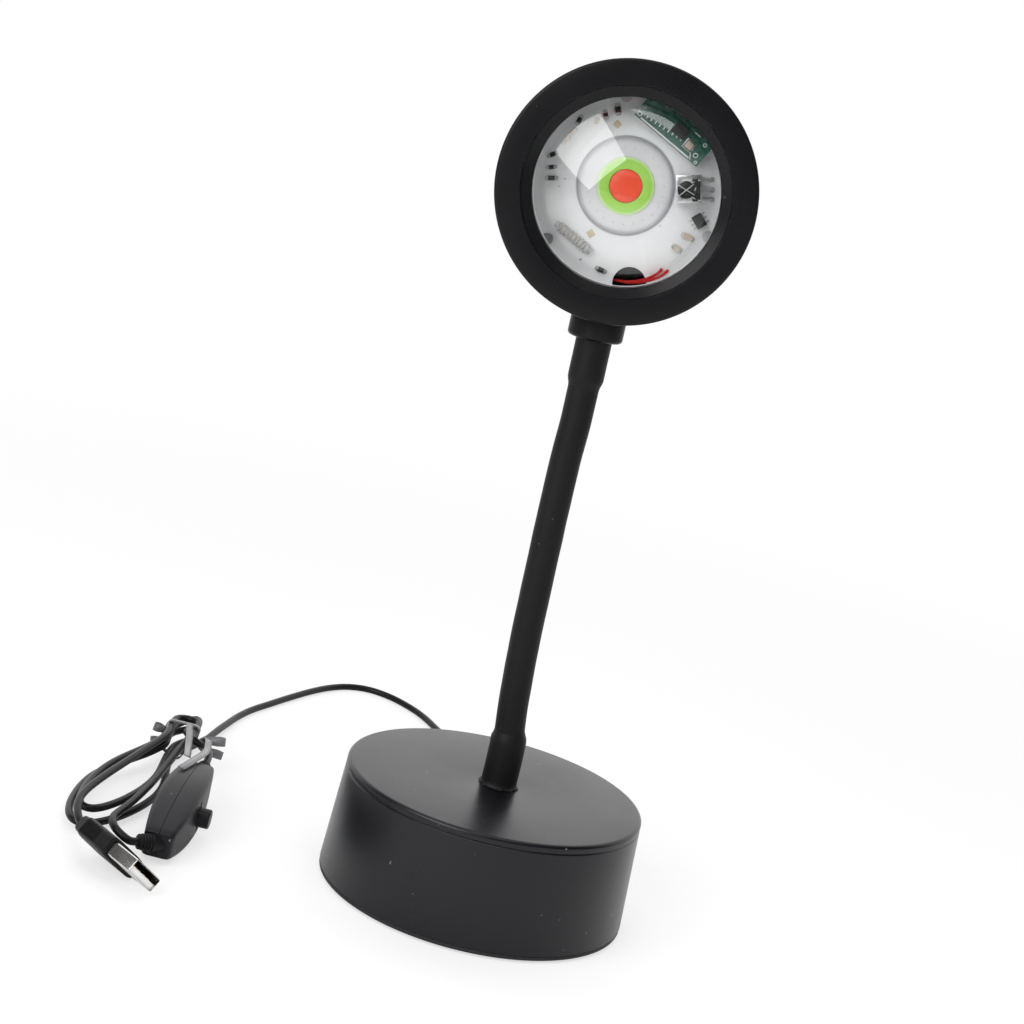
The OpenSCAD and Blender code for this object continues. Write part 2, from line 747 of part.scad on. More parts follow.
module front_bezel() color([0.13, 0.13, 0.14]) on_lens()
    rotate_extrude($fn = 128) difference() {
        union() {
            translate([0, mouth_y])
                square([bezel_r, bezel_t - bezel_edge]);
            translate([0, mouth_y]) square([bezel_r - bezel_edge, bezel_t]);
            translate([bezel_r - bezel_edge, front_y - bezel_edge])
                circle(bezel_edge);
            translate([0, mouth_y - spigot_len])
                square([spigot_r, spigot_len + eps]);
        }
        translate([-1, -1]) square([opening_d / 2 + 1, 99]);
        polygon([
            [0, front_y + 1], [step_d / 2, front_y + 1],
            [step_d / 2 - 0.2, front_y - step_t],
            [opening_d / 2, front_y - step_t - dish_t], [0, front_y - 9]
        ]);
        translate([0, 0]) square([flange_r + pass_gap, seat_y]);
    }

module lens() color([0.85, 0.9, 0.95, 0.35]) on_lens() {
    translate([0, 0, flange_y - flange_t]) cylinder(r = flange_r, h = flange_t);
    rotate_extrude($fn = 128) intersection() {
        translate([0, flange_y + lens_sag - dome_r]) circle(dome_r);
        translate([0, flange_y - eps]) square([dome_a, lens_sag + 1]);
    }
}

module lens_gasket() color([0.1, 0.1, 0.1]) on_lens()
    ringed(flange_r, opening_d / 2 + 0.2, flange_y - flange_t - gasket_t,
        gasket_t);

module lens_retainer() color([0.1, 0.1, 0.1]) on_lens()
    ringed(flange_r, opening_d / 2 + 0.2,
        flange_y - flange_t - gasket_t - retainer_t, retainer_t);

module led_board() color("white") on_board() difference() {
    translate([0, 0, -board_t]) cylinder(r = board_r, h = board_t);
    translate([notch_x, notch_up - board_r, -board_t - 1])
        cylinder(r = notch_r, h = board_t + 2);
    for (a = lug_angles) rotate(a) translate([lug_screw_r, 0, -board_t - 1])
        cylinder(r = lug_bore_r + run_gap, h = board_t + 2);
}

module board_screws() color("silver") on_board() for (a = lug_angles)
    rotate(a) translate([lug_screw_r, 0, 0]) {
        cylinder(r = 1.7, h = 1.1);
        translate([0, 0, -board_t - lug_t])
            cylinder(r = lug_bore_r, h = board_t + lug_t + 0.5);
    }

module led_module() color([0.93, 0.93, 0.9]) on_module() {
    cylinder(d = module_d, h = module_t);
    ringed(module_d / 2, module_d / 2 - 0.7, module_t - eps, module_rim);
}

module filter_ring() color([0.6, 0.82, 0.3]) on_module()
    ringed(filter_d / 2, filter_core_d / 2 + run_gap, module_t, filter_t);

module filter_core() color([0.92, 0.33, 0.18]) on_module()
    translate([0, 0, module_t]) cylinder(d = filter_core_d, h = core_t);

module heat_sink() color([0.75, 0.76, 0.78]) on_board()
    translate([0, 0, -board_t]) {
        translate([0, 0, -sink_t]) cylinder(r = sink_r, h = sink_t);
        intersection() {
            for (i = [-3:3]) box([fin_t, 2 * sink_r, fin_len + 1],
                [i * fin_pitch, 0, -sink_t - fin_len]);
            translate([0, 0, -30]) cylinder(r = sink_r - 1.5, h = 30);
        }
    }

module on_daughter() on_board()
    translate([daughter_at[0], daughter_at[1], daughter_lift])
        rotate(daughter_turn) children();

module driver_board() color([0.05, 0.33, 0.25]) on_daughter()
    box([daughter_w, daughter_d, daughter_t]);

module driver_chip() color([0.08, 0.08, 0.08]) on_daughter() {
    box([4.4, 3.4, 1.1], [1.4, 0.3, daughter_t]);
    box([2.6, 2.6, 0.8], [6, -1.2, daughter_t]);
}

module header_pins() color([0.1, 0.1, 0.1]) on_daughter() {
    row = (pin_count - 1) * pin_pitch;
    box([row + pin_pitch, 1.9, daughter_lift - 0.02],
        [0, daughter_d / 2 - 1.2, 0.01 - daughter_lift]);
    for (i = [0:pin_count - 1])
        box([0.7, 0.7, pin_over],
            [i * pin_pitch - row / 2, daughter_d / 2 - 1.2, daughter_t]);
}

// A folded metal can with a round window and crossed bars, and three leads
module ir_receiver() color([0.7, 0.7, 0.72]) on_board()
    translate([can_at[0], can_at[1], 0]) {
        difference() {
            box([can_w, can_d, can_h]);
            box([can_w - 2 * can_wall, can_d - 2 * can_wall, can_h - can_wall],
                [0, 0, -eps]);
            translate([-can_w / 2 + 3.1, 0, can_h - 1])
                cylinder(r = eye_r, h = 2, $fn = 32);
        }
        for (a = [35, -35]) translate([-can_w / 2 + 3.1, 0, can_h - can_wall])
            rotate(a) box([2 * eye_r + 0.4, 0.4, can_wall]);
        for (i = [-1:1]) translate([can_w / 2 - 0.2, i * 2.54, 1]) {
            box([3.3, 0.5, 0.4], [1.65, 0, -0.2]);
            box([0.5, 0.5, 1.1], [3.1, 0, -1]);
        }
    }

module ir_eye() color([0.05, 0.05, 0.06]) on_board()
    translate([can_at[0] - can_w / 2 + 3.1, can_at[1], 0]) {
        cylinder(r = eye_r - 0.4, h = can_h - 2.4, $fn = 32);
        translate([0, 0, can_h - 2.4]) sphere(r = eye_r - 0.4, $fn = 32);
    }

module parts_from(rows) for (p = rows) translate([p[0], p[1], 0])
    rotate(p[5]) box([p[2], p[3], p[4]]);
module chips() color([0.1, 0.1, 0.1]) on_board() parts_from(chip_rows);
module small_parts() color([0.78, 0.7, 0.58]) on_board()
    parts_from(pale_rows);

module coil_inductor() color([0.72, 0.72, 0.74]) on_board()
    translate([coil_at[0], coil_at[1], coil_r]) rotate([0, 0, coil_turn])
        rotate([0, 90, 0]) translate([0, 0, -coil_len / 2])
            rotate_extrude($fn = 32) polygon(concat(
                [[0, 0], [coil_r - 0.5, 0]],
                [for (i = [0:coil_turns - 1]) each let (
                    p = (coil_len - 2) / coil_turns, z = 1 + i * p
                ) [[coil_r - 0.5, z], [coil_r, z + 0.3 * p],
                    [coil_r, z + 0.7 * p], [coil_r - 0.5, z + p]]],
                [[coil_r - 0.5, coil_len], [0, coil_len]]
            ));

// Two insulated wires from the neck, through the notch, to the board's front
module head_wires() color([0.7, 0.1, 0.1]) for (side = [-1, 1]) on_head() {
    up = head_stub + 2.3;
    front = -board_y;
    cord(curve([
        [side * 0.45, 0, up], [0.6 + side * 0.5, -0.6, up + 1],
        [3 + side * 0.6, -2.6, up + 1.4], [5.2 + side * 0.6, front - 1.2, up + 1.7],
        [8.5 + side * 0.6, front - 2.1, up + 2.6],
        [11.7 + side * 0.7, front - 1.8, up + 4],
        [14.3 + side * 0.8, front - 1, up + 5.9],
        [15.5 + side * 0.9, front - 0.5, up + 7.6]
    ], 2), 0.42, 6);
}

// --------------------------------------------------------------------- cord

module cord_free() color([0.09, 0.09, 0.1])
    cord(curve(free_route, 2), cord_r, 8);

case_axis = [0, cos(case_pitch), sin(case_pitch)];
switch_entry = case_at + (case_len / 2 + relief_len) * case_axis;
hank_exit = [
    [-98.6, 45.4, 9.4], [-94.8, 39.4, 10.8], [-92.3, 31.5, 11.4],
    switch_entry + cord_d * case_axis, switch_entry
];
hank_line = let (
    n = hank_steps * hank_turns,
    p = [for (k = [0:n]) hank_at(hank_start + k / hank_steps)],
    last = free_route[len(free_route) - 1]
) concat(
    [last, last + cord_d * unit(last - free_route[len(free_route) - 2])],
    p,
    [for (q = hank_exit) q]
);
module cord_hank() color([0.09, 0.09, 0.1]) cord(hank_line, cord_r, 6);

// The tail's line, from the low relief's end to the plug's
low_axis = [
    -sin(relief_turn), -cos(relief_turn) * cos(case_pitch - relief_rise),
    -cos(relief_turn) * sin(case_pitch - relief_rise)
];
low_end = case_at - (case_len / 2 - low_in) * case_axis
    + [low_side, 0, 0] + (low_neck + low_ribs) * low_axis;
plug_axis = [
    cos(plug_turn) * cos(plug_pitch), sin(plug_turn) * cos(plug_pitch),
    -sin(plug_pitch)
];
plug_entry = plug_root - (grip_len + tail_len) * plug_axis;
tail_line = concat(
    [low_end, low_end + cord_d * low_axis], tail_route,
    [plug_entry - cord_d * plug_axis, plug_entry]
);
module cord_tail() color([0.09, 0.09, 0.1])
    cord(curve(tail_line, 2), cord_r, 8);

// Least distance between two stretches of one line that aren't neighbours
function closest(p, skip) = min([for (i = [0:len(p) - 1])
    for (j = [i + skip:1:len(p) - 1]) norm(p[i] - p[j])]);
function least(p, q) = min([for (a = p) for (b = q) norm(a - b)]);
fine_hank = curve(hank_line, 4);
fine_tail = curve(tail_line, 6);
echo(hank_gap = closest(fine_hank, 24) - cord_d);
echo(tail_gap = closest(fine_tail, 40) - cord_d);
echo(hank_to_tail = least(fine_hank, fine_tail) - cord_d);
echo(joints = [for (i = [1:flex_links + 1]) joint_at(i)]);
echo(head = joint_at(len(span) - 1));

// A flat tie wound round the waist, knotted at the side, with bow loops
waist_mid = [-105.4, 49.5, 7.3];
waist_size = [13.4, 13.2];
tie_round = 3;
module round_rect(size, r) {
    square([size[0] - 2 * r, size[1]], center = true);
    square([size[0], size[1] - 2 * r], center = true);
    for (x = [-1, 1], y = [-1, 1])
        translate([x * (size[0] / 2 - r), y * (size[1] / 2 - r)]) circle(r);
}
module slot_shape(long, wide) {
    square([long - wide, wide], center = true);
    for (x = [-1, 1]) translate([x * (long - wide) / 2, 0])
        circle(d = wide, $fn = 32);
}
module tie_loop(at, tilt, long, wide) translate(at) rotate(tilt)
    translate([long / 2 - 1, 0]) difference() {
        slot_shape(long, wide);
        slot_shape(long - 2 * tie_t, wide - 2 * tie_t);
    }
module cord_tie() color([0.25, 0.25, 0.26]) {
    side = waist_size[0] / 2;
    translate(waist_mid) rotate([90, 0, 0]) {
        translate([0, 0, -tie_w / 2]) linear_extrude(tie_w) {
            difference() {
                round_rect(waist_size + [tie_t, tie_t] * 2, tie_round + tie_t);
                round_rect(waist_size, tie_round);
            }
            tie_loop([side + 1.4, 0.6], 14, 10, 4.2);
            tie_loop([side + 1.4, 0.6], -14, 9, 3.8);
            tie_loop([-side - 0.5, 3.2], 176, 6.4, 3.4);
            tie_loop([-side - 0.5, -2.4], 186, 7, 3.4);
        }
        translate([side + 2, 0.6, -tie_w / 2 - 0.6])
            cylinder(r = 2, h = tie_w + 1.2);
    }
    box([tie_w, 13, tie_t], waist_mid + [-0.6, -6, waist_size[1] / 2]);
}

// ------------------------------------------------------------------- switch

// A boat-shaped outline: two arcs that meet blunt ends
module boat(half_w, half_end, half_len, h) {
    s = half_w - half_end;
    r = (half_len * half_len + s * s) / (2 * s);
    translate([0, 0, -h]) linear_extrude(2 * h) intersection() {
        translate([0, half_w - r]) circle(r, $fn = 128);
        translate([0, r - half_w]) circle(r, $fn = 128);
        square([2 * half_len, 2 * half_w + 2], center = true);
    }
}
module case_form(inset) intersection() {
    boat(case_w / 2 - inset, case_end_w / 2 - inset, case_len / 2 - inset, 20);
    rotate([90, 0, 0])
        boat(case_half - inset, case_end_t / 2 - inset, case_len / 2, 20);
    for (a = [45]) rotate([a, 0, 0])
        boat(case_edge - inset, case_end_edge - inset, case_len / 2, 20);
    for (a = [-45]) rotate([a, 0, 0])
        boat(case_edge - inset, case_end_edge - inset, case_len / 2, 20);
}

// Ways in for the cord: straight at the top end, turned aside at the low end
module at_top() translate([-case_len / 2, 0, 0]) rotate([0, -90, 0])
    children();
module at_low() translate([case_len / 2 - low_in, 0, low_side])
    rotate([0, 0, -relief_rise]) rotate([0, 90 + relief_turn, 0]) children();

module case_half_of(up) difference() {
    union() {
        difference() {
            case_form(0);
            case_form(case_wall);
        }
        intersection() {
            case_form(case_wall / 2);
            for (x = [-screw_x, screw_x]) translate([x, 0, -20])
                cylinder(r = boss_r, h = 40);
        }
    }
    translate([-50, -50, up ? -40 : 0]) cube([100, 100, 40]);
    at_top() translate([0, 0, -4])
        cylinder(r = relief_neck_r + run_gap, h = 9);
    at_low() translate([0, 0, -2])
        cylinder(r = relief_neck_r + run_gap, h = 12);
    at_low() translate([0, 0, low_neck - pass_gap])
        cylinder(r = relief_r + pass_gap, h = 12);
}

module switch_case_front() color([0.13, 0.13, 0.14]) on_switch()
    difference() {
        case_half_of(true);
        translate([button_x, 0, 0])
            cylinder(r = button_d / 2 + pass_gap, h = 20);
        box([notch_w, button_d + 4, 20], [button_x, 0, 0]);
        for (x = [-screw_x, screw_x]) translate([x, 0, -1])
            cylinder(r = screw_r + run_gap, h = 4.4);
    }

module switch_case_back() color([0.13, 0.13, 0.14]) on_switch() {
    difference() {
        case_half_of(false);
        for (x = [-screw_x, screw_x]) translate([x, 0, 0]) {
            translate([0, 0, -20]) cylinder(r = screw_r + run_gap, h = 21);
            translate([0, 0, -20])
                cylinder(r = 1.9 + run_gap, h = 20 - 2.6);
        }
    }
    for (x = [-1, 1], y = [-1, 1])
        translate([button_x + x * 4.4, y * 2.6, 0.5 - case_half])
            cylinder(r = 1.2, h = latch_top - latch[2] + case_half - 0.5);
}

module switch_button() color([0.08, 0.08, 0.08]) on_switch()
    translate([button_x, 0, 0]) {
        translate([0, 0, latch_top - 1.2]) cylinder(r = stem_hole_r - 0.1,
            h = flange_z - latch_top + 1.3);
        translate([0, 0, flange_z])
            cylinder(r = button_d / 2 + flange_over, h = button_flange);
        translate([0, 0, flange_z])
            cylinder(d = button_d, h = case_half + button_out - 0.6 - flange_z);
        translate([0, 0, case_half + button_out - 0.6 - eps])
            cylinder(r1 = button_d / 2, r2 = button_d / 2 - 0.6, h = 0.6);
    }

module switch_latch() color([0.75, 0.75, 0.72]) on_switch()
    translate([button_x, 0, latch_top - latch[2]]) {
        difference() {
            box(latch);
            translate([0, 0, latch[2] - 3.1])
                cylinder(r = stem_hole_r, h = 4);
        }
        for (x = [-1, 1]) box([2.4, 1.6, 0.5],
            [x * (latch[0] / 2 + 1.1), 0, latch[2] / 2]);
    }

module switch_screws() color("silver") on_switch()
    for (x = [-screw_x, screw_x]) translate([x, 0, 0]) {
        translate([0, 0, -2.6]) cylinder(r = screw_r, h = 5.6);
        translate([0, 0, -4]) cylinder(r = 1.9, h = 1.4);
    }

// A ribbed cord relief: neck in the case, then ribs that taper to the cord
module relief(neck, h) rotate_extrude($fn = 32) polygon(concat(
    [[0, -neck], [relief_neck_r, -neck], [relief_neck_r, 0]],
    [for (i = [0:4]) each let (
        p = h / 5, z = i * p,
        r = relief_r - (relief_r - relief_end_r) * (i + 0.5) / 5
    ) [[r, z], [r, z + 0.62 * p], [r - 0.5, z + 0.7 * p],
        [r - 0.5, z + p]]],
    [[0, h]]
));
module switch_relief_top() color([0.1, 0.1, 0.1]) on_switch()
    at_top() relief(3.4, relief_len);
module switch_relief_low() color([0.1, 0.1, 0.1]) on_switch()
    at_low() translate([0, 0, low_neck])
        relief(low_neck + 1, low_ribs);

// --------------------------------------------------------------------- plug

module rounded_bar(from, to, w, t, r) translate([from, 0, 0])
    rotate([90, 0, 90]) linear_extrude(to - from) round_rect([w, t], r);

module plug_grip() color([0.09, 0.09, 0.1]) on_plug() difference() {
    union() {
        rounded_bar(3 - grip_len, 0, grip_w, grip_t, 1.4);
        rounded_bar(-grip_len, 3 - grip_len + eps, grip_w - 2, grip_t - 1, 1);
        translate([-grip_len - tail_len, 0, 0]) rotate([0, 90, 0])
            cylinder(r1 = cord_r + 0.5, r2 = cord_r + 1, h = tail_len + eps);
    }
    rounded_bar(-shell_in, 1, shell_w, shell_t, 0.4);
    for (i = [0:groove_count - 1], side = [-1, 1])
        box([0.5, 0.7, grip_t - 2.6], [
            4.4 - grip_len + i * groove_pitch,
            side * (grip_w / 2 + 0.05), 1.3 - grip_t / 2
        ]);
}

module plug_shell() color([0.8, 0.8, 0.82]) on_plug() difference() {
    rounded_bar(-shell_in, shell_out, shell_w, shell_t, 0.4);
    rounded_bar(-shell_in - 1, shell_out + 1, shell_w - 2 * shell_gauge,
        shell_t - 2 * shell_gauge, 0.2);
    for (y = [-1, 1]) box([2, 2.2, 9], [6.2, y * 2.6, -4]);
}

module plug_tongue() color([0.93, 0.93, 0.92]) on_plug()
    box([shell_in + shell_out - 0.6, shell_w - 2 * shell_gauge - run_gap,
        tongue_t], [(shell_out - shell_in - 0.6) / 2, 0,
        shell_gauge + run_gap / 2 - shell_t / 2]);

module plug_contacts() color([0.85, 0.7, 0.3]) on_plug()
    for (i = [0:3]) box([7.6, contact_w, 0.25], [shell_out - 5.4,
        (i - 1.5) * contact_pitch,
        shell_gauge + run_gap / 2 - shell_t / 2 + tongue_t]);

base_shell();
base_weight();
base_plate();
base_pad();
plate_screws();
neck_nut();
neck_washer();
lower_ferrule();
cord_grommet();
base_lead();
hose_foot();
hose_link(1);  // hose_link_1
hose_link(2);  // hose_link_2
hose_link(3);  // hose_link_3
hose_link(4);  // hose_link_4
hose_link(5);  // hose_link_5
hose_link(6);  // hose_link_6
hose_link(7);  // hose_link_7
hose_top();
neck_sleeve();
neck_lead();
upper_ferrule();
collar();
head_locknut();
head_housing();
rear_cover();
front_bezel();
lens();
lens_gasket();
lens_retainer();
led_board();
led_module();
filter_ring();
filter_core();
heat_sink();
board_screws();
driver_board();
driver_chip();
header_pins();
ir_receiver();
ir_eye();
chips();
small_parts();
coil_inductor();
head_wires();
cord_free();
cord_hank();
cord_tail();
cord_tie();
switch_case_front();
switch_case_back();
switch_button();
switch_latch();
switch_screws();
switch_relief_top();
switch_relief_low();
plug_grip();
plug_shell();
plug_tongue();
plug_contacts();
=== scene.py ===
import json
from math import cos, exp, pi, radians, sin, sqrt, tan

import bmesh
import bpy
from mathutils import Matrix, Vector, noise

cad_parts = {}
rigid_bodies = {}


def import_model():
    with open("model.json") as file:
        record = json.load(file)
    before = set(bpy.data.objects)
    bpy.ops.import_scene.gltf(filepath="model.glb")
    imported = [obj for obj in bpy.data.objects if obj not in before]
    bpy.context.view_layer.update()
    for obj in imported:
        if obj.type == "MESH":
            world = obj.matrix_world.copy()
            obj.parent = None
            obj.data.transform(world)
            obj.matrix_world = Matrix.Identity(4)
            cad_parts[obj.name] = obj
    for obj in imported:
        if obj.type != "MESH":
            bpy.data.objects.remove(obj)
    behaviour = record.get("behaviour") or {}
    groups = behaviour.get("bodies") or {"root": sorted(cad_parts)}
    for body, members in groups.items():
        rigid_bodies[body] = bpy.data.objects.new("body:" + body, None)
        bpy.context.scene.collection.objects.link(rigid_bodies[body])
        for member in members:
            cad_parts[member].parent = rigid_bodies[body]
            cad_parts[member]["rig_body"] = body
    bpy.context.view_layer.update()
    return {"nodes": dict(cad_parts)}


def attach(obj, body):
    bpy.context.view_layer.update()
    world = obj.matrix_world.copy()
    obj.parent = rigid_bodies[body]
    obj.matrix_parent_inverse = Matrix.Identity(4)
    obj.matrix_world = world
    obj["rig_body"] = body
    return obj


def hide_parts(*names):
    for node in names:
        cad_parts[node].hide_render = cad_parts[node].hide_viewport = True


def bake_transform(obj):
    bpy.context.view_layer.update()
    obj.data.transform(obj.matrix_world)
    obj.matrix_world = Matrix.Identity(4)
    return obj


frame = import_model()
MM = 0.001

# ---------------------------------------------------------------- viewpoint
# The lamp is seen a little from above by a long lens that is tipped a few
# degrees clockwise, which leans the upright neck to the left.
scene = bpy.context.scene
scene.view_settings.view_transform = "Standard"
eye = Vector((0.0, -0.61245, 0.24396))
ahead = Vector((-0.02347571, 0.97972054, -0.19898883))
right = Vector((0.97072424, 0.06993248, 0.229791))
up = Vector((-0.23904674, 0.18776877, 0.95268019))
lens_data = bpy.data.cameras.new("viewpoint")
lens_data.lens = 73.83
lens_data.sensor_width = 36.0
lens_data.clip_start = 0.01
lens_data.clip_end = 20.0
viewpoint = bpy.data.objects.new("viewpoint", lens_data)
viewpoint.matrix_world = Matrix.Translation(eye) @ Matrix(
    (right, up, -ahead)
).transposed().to_4x4()
scene.collection.objects.link(viewpoint)
scene.camera = viewpoint

# --------------------------------------------------------------------- cord
# A round two-core lead in soft black vinyl. It leaves the drum at the back,
# loops over the table, is folded into a hank and tied, and runs through the
# push switch to the plug. One mould-extruded jacket, satin, a little dusty.
cord_r = 1.2 * MM


class Tone:
    """A socket in a finish, so that plain sums can be written on it."""

    def __init__(self, finish, socket):
        self.finish, self.socket = finish, socket

    def sum(self, operation, other, swap=False):
        a, b = (other, self) if swap else (self, other)
        return self.finish.node("Math", {"operation": operation}, {0: a, 1: b})

    def __add__(self, other):
        return self.sum("ADD", other)

    def __radd__(self, other):
        return self.sum("ADD", other, True)

    def __sub__(self, other):
        return self.sum("SUBTRACT", other)

    def __rsub__(self, other):
        return self.sum("SUBTRACT", other, True)

    def __mul__(self, other):
        return self.sum("MULTIPLY", other)

    def __rmul__(self, other):
        return self.sum("MULTIPLY", other, True)

    def __truediv__(self, other):
        return self.sum("DIVIDE", other)


class Finish:
    """A material: its fixed values sit on the shader, the rest come as nodes."""

    def __init__(self, name, colour, rough, **fixed):
        self.mat = bpy.data.materials.new(name)
        self.mat.use_nodes = True
        self.tree = self.mat.node_tree
        self.shader = self.tree.nodes["Principled BSDF"]
        self.give("Base Color", (*colour, 1.0))
        self.give("Roughness", rough)
        for key, value in fixed.items():
            self.give(key.replace("_", " "), value)

    def give(self, name, value):
        self.feed(self.shader.inputs[name], value)

    def feed(self, socket, value):
        if isinstance(value, Tone):
            self.tree.links.new(value.socket, socket)
        else:
            socket.default_value = value

    def node(self, kind, settings=None, sockets=None, out=0):
        made = self.tree.nodes.new("ShaderNode" + kind)
        for key, value in (settings or {}).items():
            if key == "stops":
                ramp = made.color_ramp
                while len(ramp.elements) < len(value):
                    ramp.elements.new(1.0)
                for stop, (at, shade) in zip(ramp.elements, value):
                    stop.position, stop.color = at, (*[shade] * 3, 1.0)
            else:
                setattr(made, key, value)
        for key, value in (sockets or {}).items():
            self.feed(made.inputs[key], value)
        return Tone(self, made.outputs[out])

    def place(self):
        return self.node("TexCoord", out="Object")

    def part(self, vector, axis):
        return self.node("SeparateXYZ", {}, {0: vector}, out=axis)

    def grain(self, scale, detail=3.0, spread=0.5, vector=None, stretch=None):
        vector = vector or self.place()
        if stretch:
            vector = self.node("Mapping", {}, {"Vector": vector, "Scale": stretch})
        return self.node(
            "TexNoise", {}, {"Vector": vector, "Scale": scale, "Detail": detail,
                             "Roughness": spread}, out="Fac")

    def steps(self, value, *stops):
        return self.node("ValToRGB", {"stops": stops}, {"Fac": value})

    def blend(self, share, first, second):
        first, second = [
            (*c, 1.0) if isinstance(c, tuple) and len(c) == 3 else c
            for c in (first, second)]
        return self.node("Mix", {"data_type": "RGBA"}, {0: share, 6: first,
                                                        7: second}, out=2)

    def relief(self, height, strength, depth=0.0002):
        self.give("Normal", self.node("Bump", {}, {
            "Height": height, "Strength": strength, "Distance": depth}))


def moulded(name, colour, rough, pale=1.6, grit=0.25, scale=2600.0, marks=0.0,
            **fixed):
    """Moulded plastic or rubber: fine spark texture, handling marks, dust."""
    f = Finish(name, colour, rough, **{"Specular_IOR_Level": 0.16, **fixed})
    fine = f.grain(scale, 2.0)
    cloud = f.grain(45.0, 3.0)
    worn = tuple(min(c * pale, 1.0) for c in colour)
    shade = f.blend(f.steps(cloud, (0.35, 0.0), (0.75, 1.0)), colour, worn)
    if marks:
        dust = f.grain(640.0, 1.0, 0.3)
        shade = f.blend(f.steps(dust, (0.8, 0.0), (0.815, marks)), shade,
                        (0.3, 0.3, 0.3))
    f.give("Base Color", shade)
    f.give("Roughness", rough + (cloud - 0.5) * 0.14 + (fine - 0.5) * 0.1)
    f.relief(fine, grit, 0.00006)
    return f


def curved(points, steps):
    """A smooth line through points, with so many steps between them."""
    line = []
    for i in range(len(points) - 1):
        a, b, c = points[max(i - 1, 0)], points[i], points[i + 1]
        d = points[min(i + 2, len(points) - 1)]
        m, q = (c - a) / 2, (d - b) / 2
        for k in range(steps):
            u = k / steps
            line.append(b * (2 * u**3 - 3 * u * u + 1) + m * (u**3 - 2 * u * u + u)
                        + c * (3 * u * u - 2 * u**3) + q * (u**3 - u * u))
    return line + [points[-1]]


def lookup(t, rows):
    if t <= rows[0][0]:
        return rows[0][1]
    for (t0, v0), (t1, v1) in zip(rows, rows[1:]):
        if t <= t1:
            return v0 + (v1 - v0) * (t - t0) / (t1 - t0)
    return rows[-1][1]


def millimetres(rows):
    return [Vector(row) * MM for row in rows]


floor_z = 1.3
free_route = millimetres([
    (0, 63.1, 8), (0, 66.1, 8), (-0.5, 75, 6.4), (-2, 84, 3.6),
    (-4.5, 94, 1.9), (-8, 105, floor_z), (-13, 118, floor_z),
    (-19, 132, floor_z), (-24, 142.5, floor_z), (-28, 150, floor_z),
    (-33, 158.5, floor_z), (-39, 165.8, floor_z), (-47.5, 172.8, floor_z),
    (-56.5, 175.8, floor_z), (-64.5, 173.2, floor_z), (-71.2, 165.9, floor_z),
    (-77.3, 154.8, floor_z), (-83, 141.6, floor_z), (-88, 129, floor_z),
    (-92.8, 116.5, floor_z), (-95.8, 105, floor_z), (-97.4, 94, 1.6),
    (-98.6, 84, 2), (-99.6, 74, 2.3)])

# The switch lies on its side, nose down; its frame places everything on it.
case_at = Vector((-91.6, -11.74, 8.06)) * MM
case_pitch = radians(4.6)
case_axis = Vector((0.0, cos(case_pitch), sin(case_pitch)))
case_len = 53.5 * MM
relief_len = 7.0 * MM
on_switch = (Matrix.Translation(case_at) @ Matrix.Rotation(case_pitch, 4, "X")
             @ Matrix.Rotation(-pi / 2, 4, "X") @ Matrix.Rotation(pi / 2, 4, "Y"))
switch_entry = case_at + (case_len / 2 + relief_len) * case_axis

hank_top, hank_end = Vector((-105.2, 72.0)), Vector((-117.8, -28.0))
across = Vector((hank_top.y - hank_end.y, hank_end.x - hank_top.x)).normalized()


def hank_at(t):
    """The hank's middle line: turn t runs down one side and up the other."""
    a = cos(2 * pi * t) / 2
    fan, reach = (9.0, 0.26) if a < 0.275 else (6.0, 0.09)
    pinch = fan * (1 - exp(-(((a - 0.275) / reach) ** 2)))
    w = 2.3 + pinch * lookup(t, [(0, 1), (0.7, 1.05), (1.2, 0.62), (1.75, 0.7),
                                 (2.3, 0.5)])
    far = lookup(t, [(0, 1), (0.5, 1), (1, 0.97), (1.5, 0.9), (2, 1.03),
                     (2.3, 1)])
    p = ((hank_top + hank_end) / 2 + (hank_top - hank_end) * a * far
         + across * w * sin(2 * pi * t))
    lift = exp(-(((a - 0.275) / 0.2) ** 2))
    return Vector((p.x, p.y, 1.3 + 3.0 * t + lift)) * MM


def hank_line(steps):
    last, before = free_route[-1], free_route[-2]
    turns = [hank_at(0.135 + k / steps) for k in range(2 * steps + 1)]
    return ([last, last + 2 * cord_r * (last - before).normalized()] + turns
            + millimetres([(-98.6, 45.4, 9.4), (-94.8, 39.4, 10.8), (-92.3, 31.5, 11.4)])
            + [switch_entry + 2 * cord_r * case_axis, switch_entry])


vinyl = moulded("cord vinyl", (0.0065, 0.0065, 0.0073), 0.36, 1.8, 0.3, 1500.0, 0.4)


def lead(name, line, nodes, radius=cord_r):
    """A cord: a round jacket drawn along its middle line."""
    curve = bpy.data.curves.new(name, "CURVE")
    curve.dimensions = "3D"
    curve.bevel_depth = radius
    curve.bevel_resolution = 5
    curve.use_fill_caps = True
    spline = curve.splines.new("POLY")
    spline.points.add(len(line) - 1)
    for point, place in zip(spline.points, line):
        point.co = (*place, 1.0)
    spline.use_smooth = True
    curve.materials.append(vinyl.mat)
    piece = bpy.data.objects.new(name, curve)
    scene.collection.objects.link(piece)
    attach(piece, "base")
    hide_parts(*nodes)
    return piece


def length_of(line):
    return sum((b - a).length for a, b in zip(line, line[1:]))


def even(line, gap):
    """The same line with points an even gap apart."""
    kept = [line[0]]
    for place in line[1:-1]:
        if (place - kept[-1]).length >= gap:
            kept.append(place)
    return kept + [line[-1]]


feed_line = even(curved(free_route, 6) + curved(hank_line(48), 3)[1:], 0.9 * MM)
feed = lead("cord_feed", feed_line, ["cord_free", "cord_hank"])

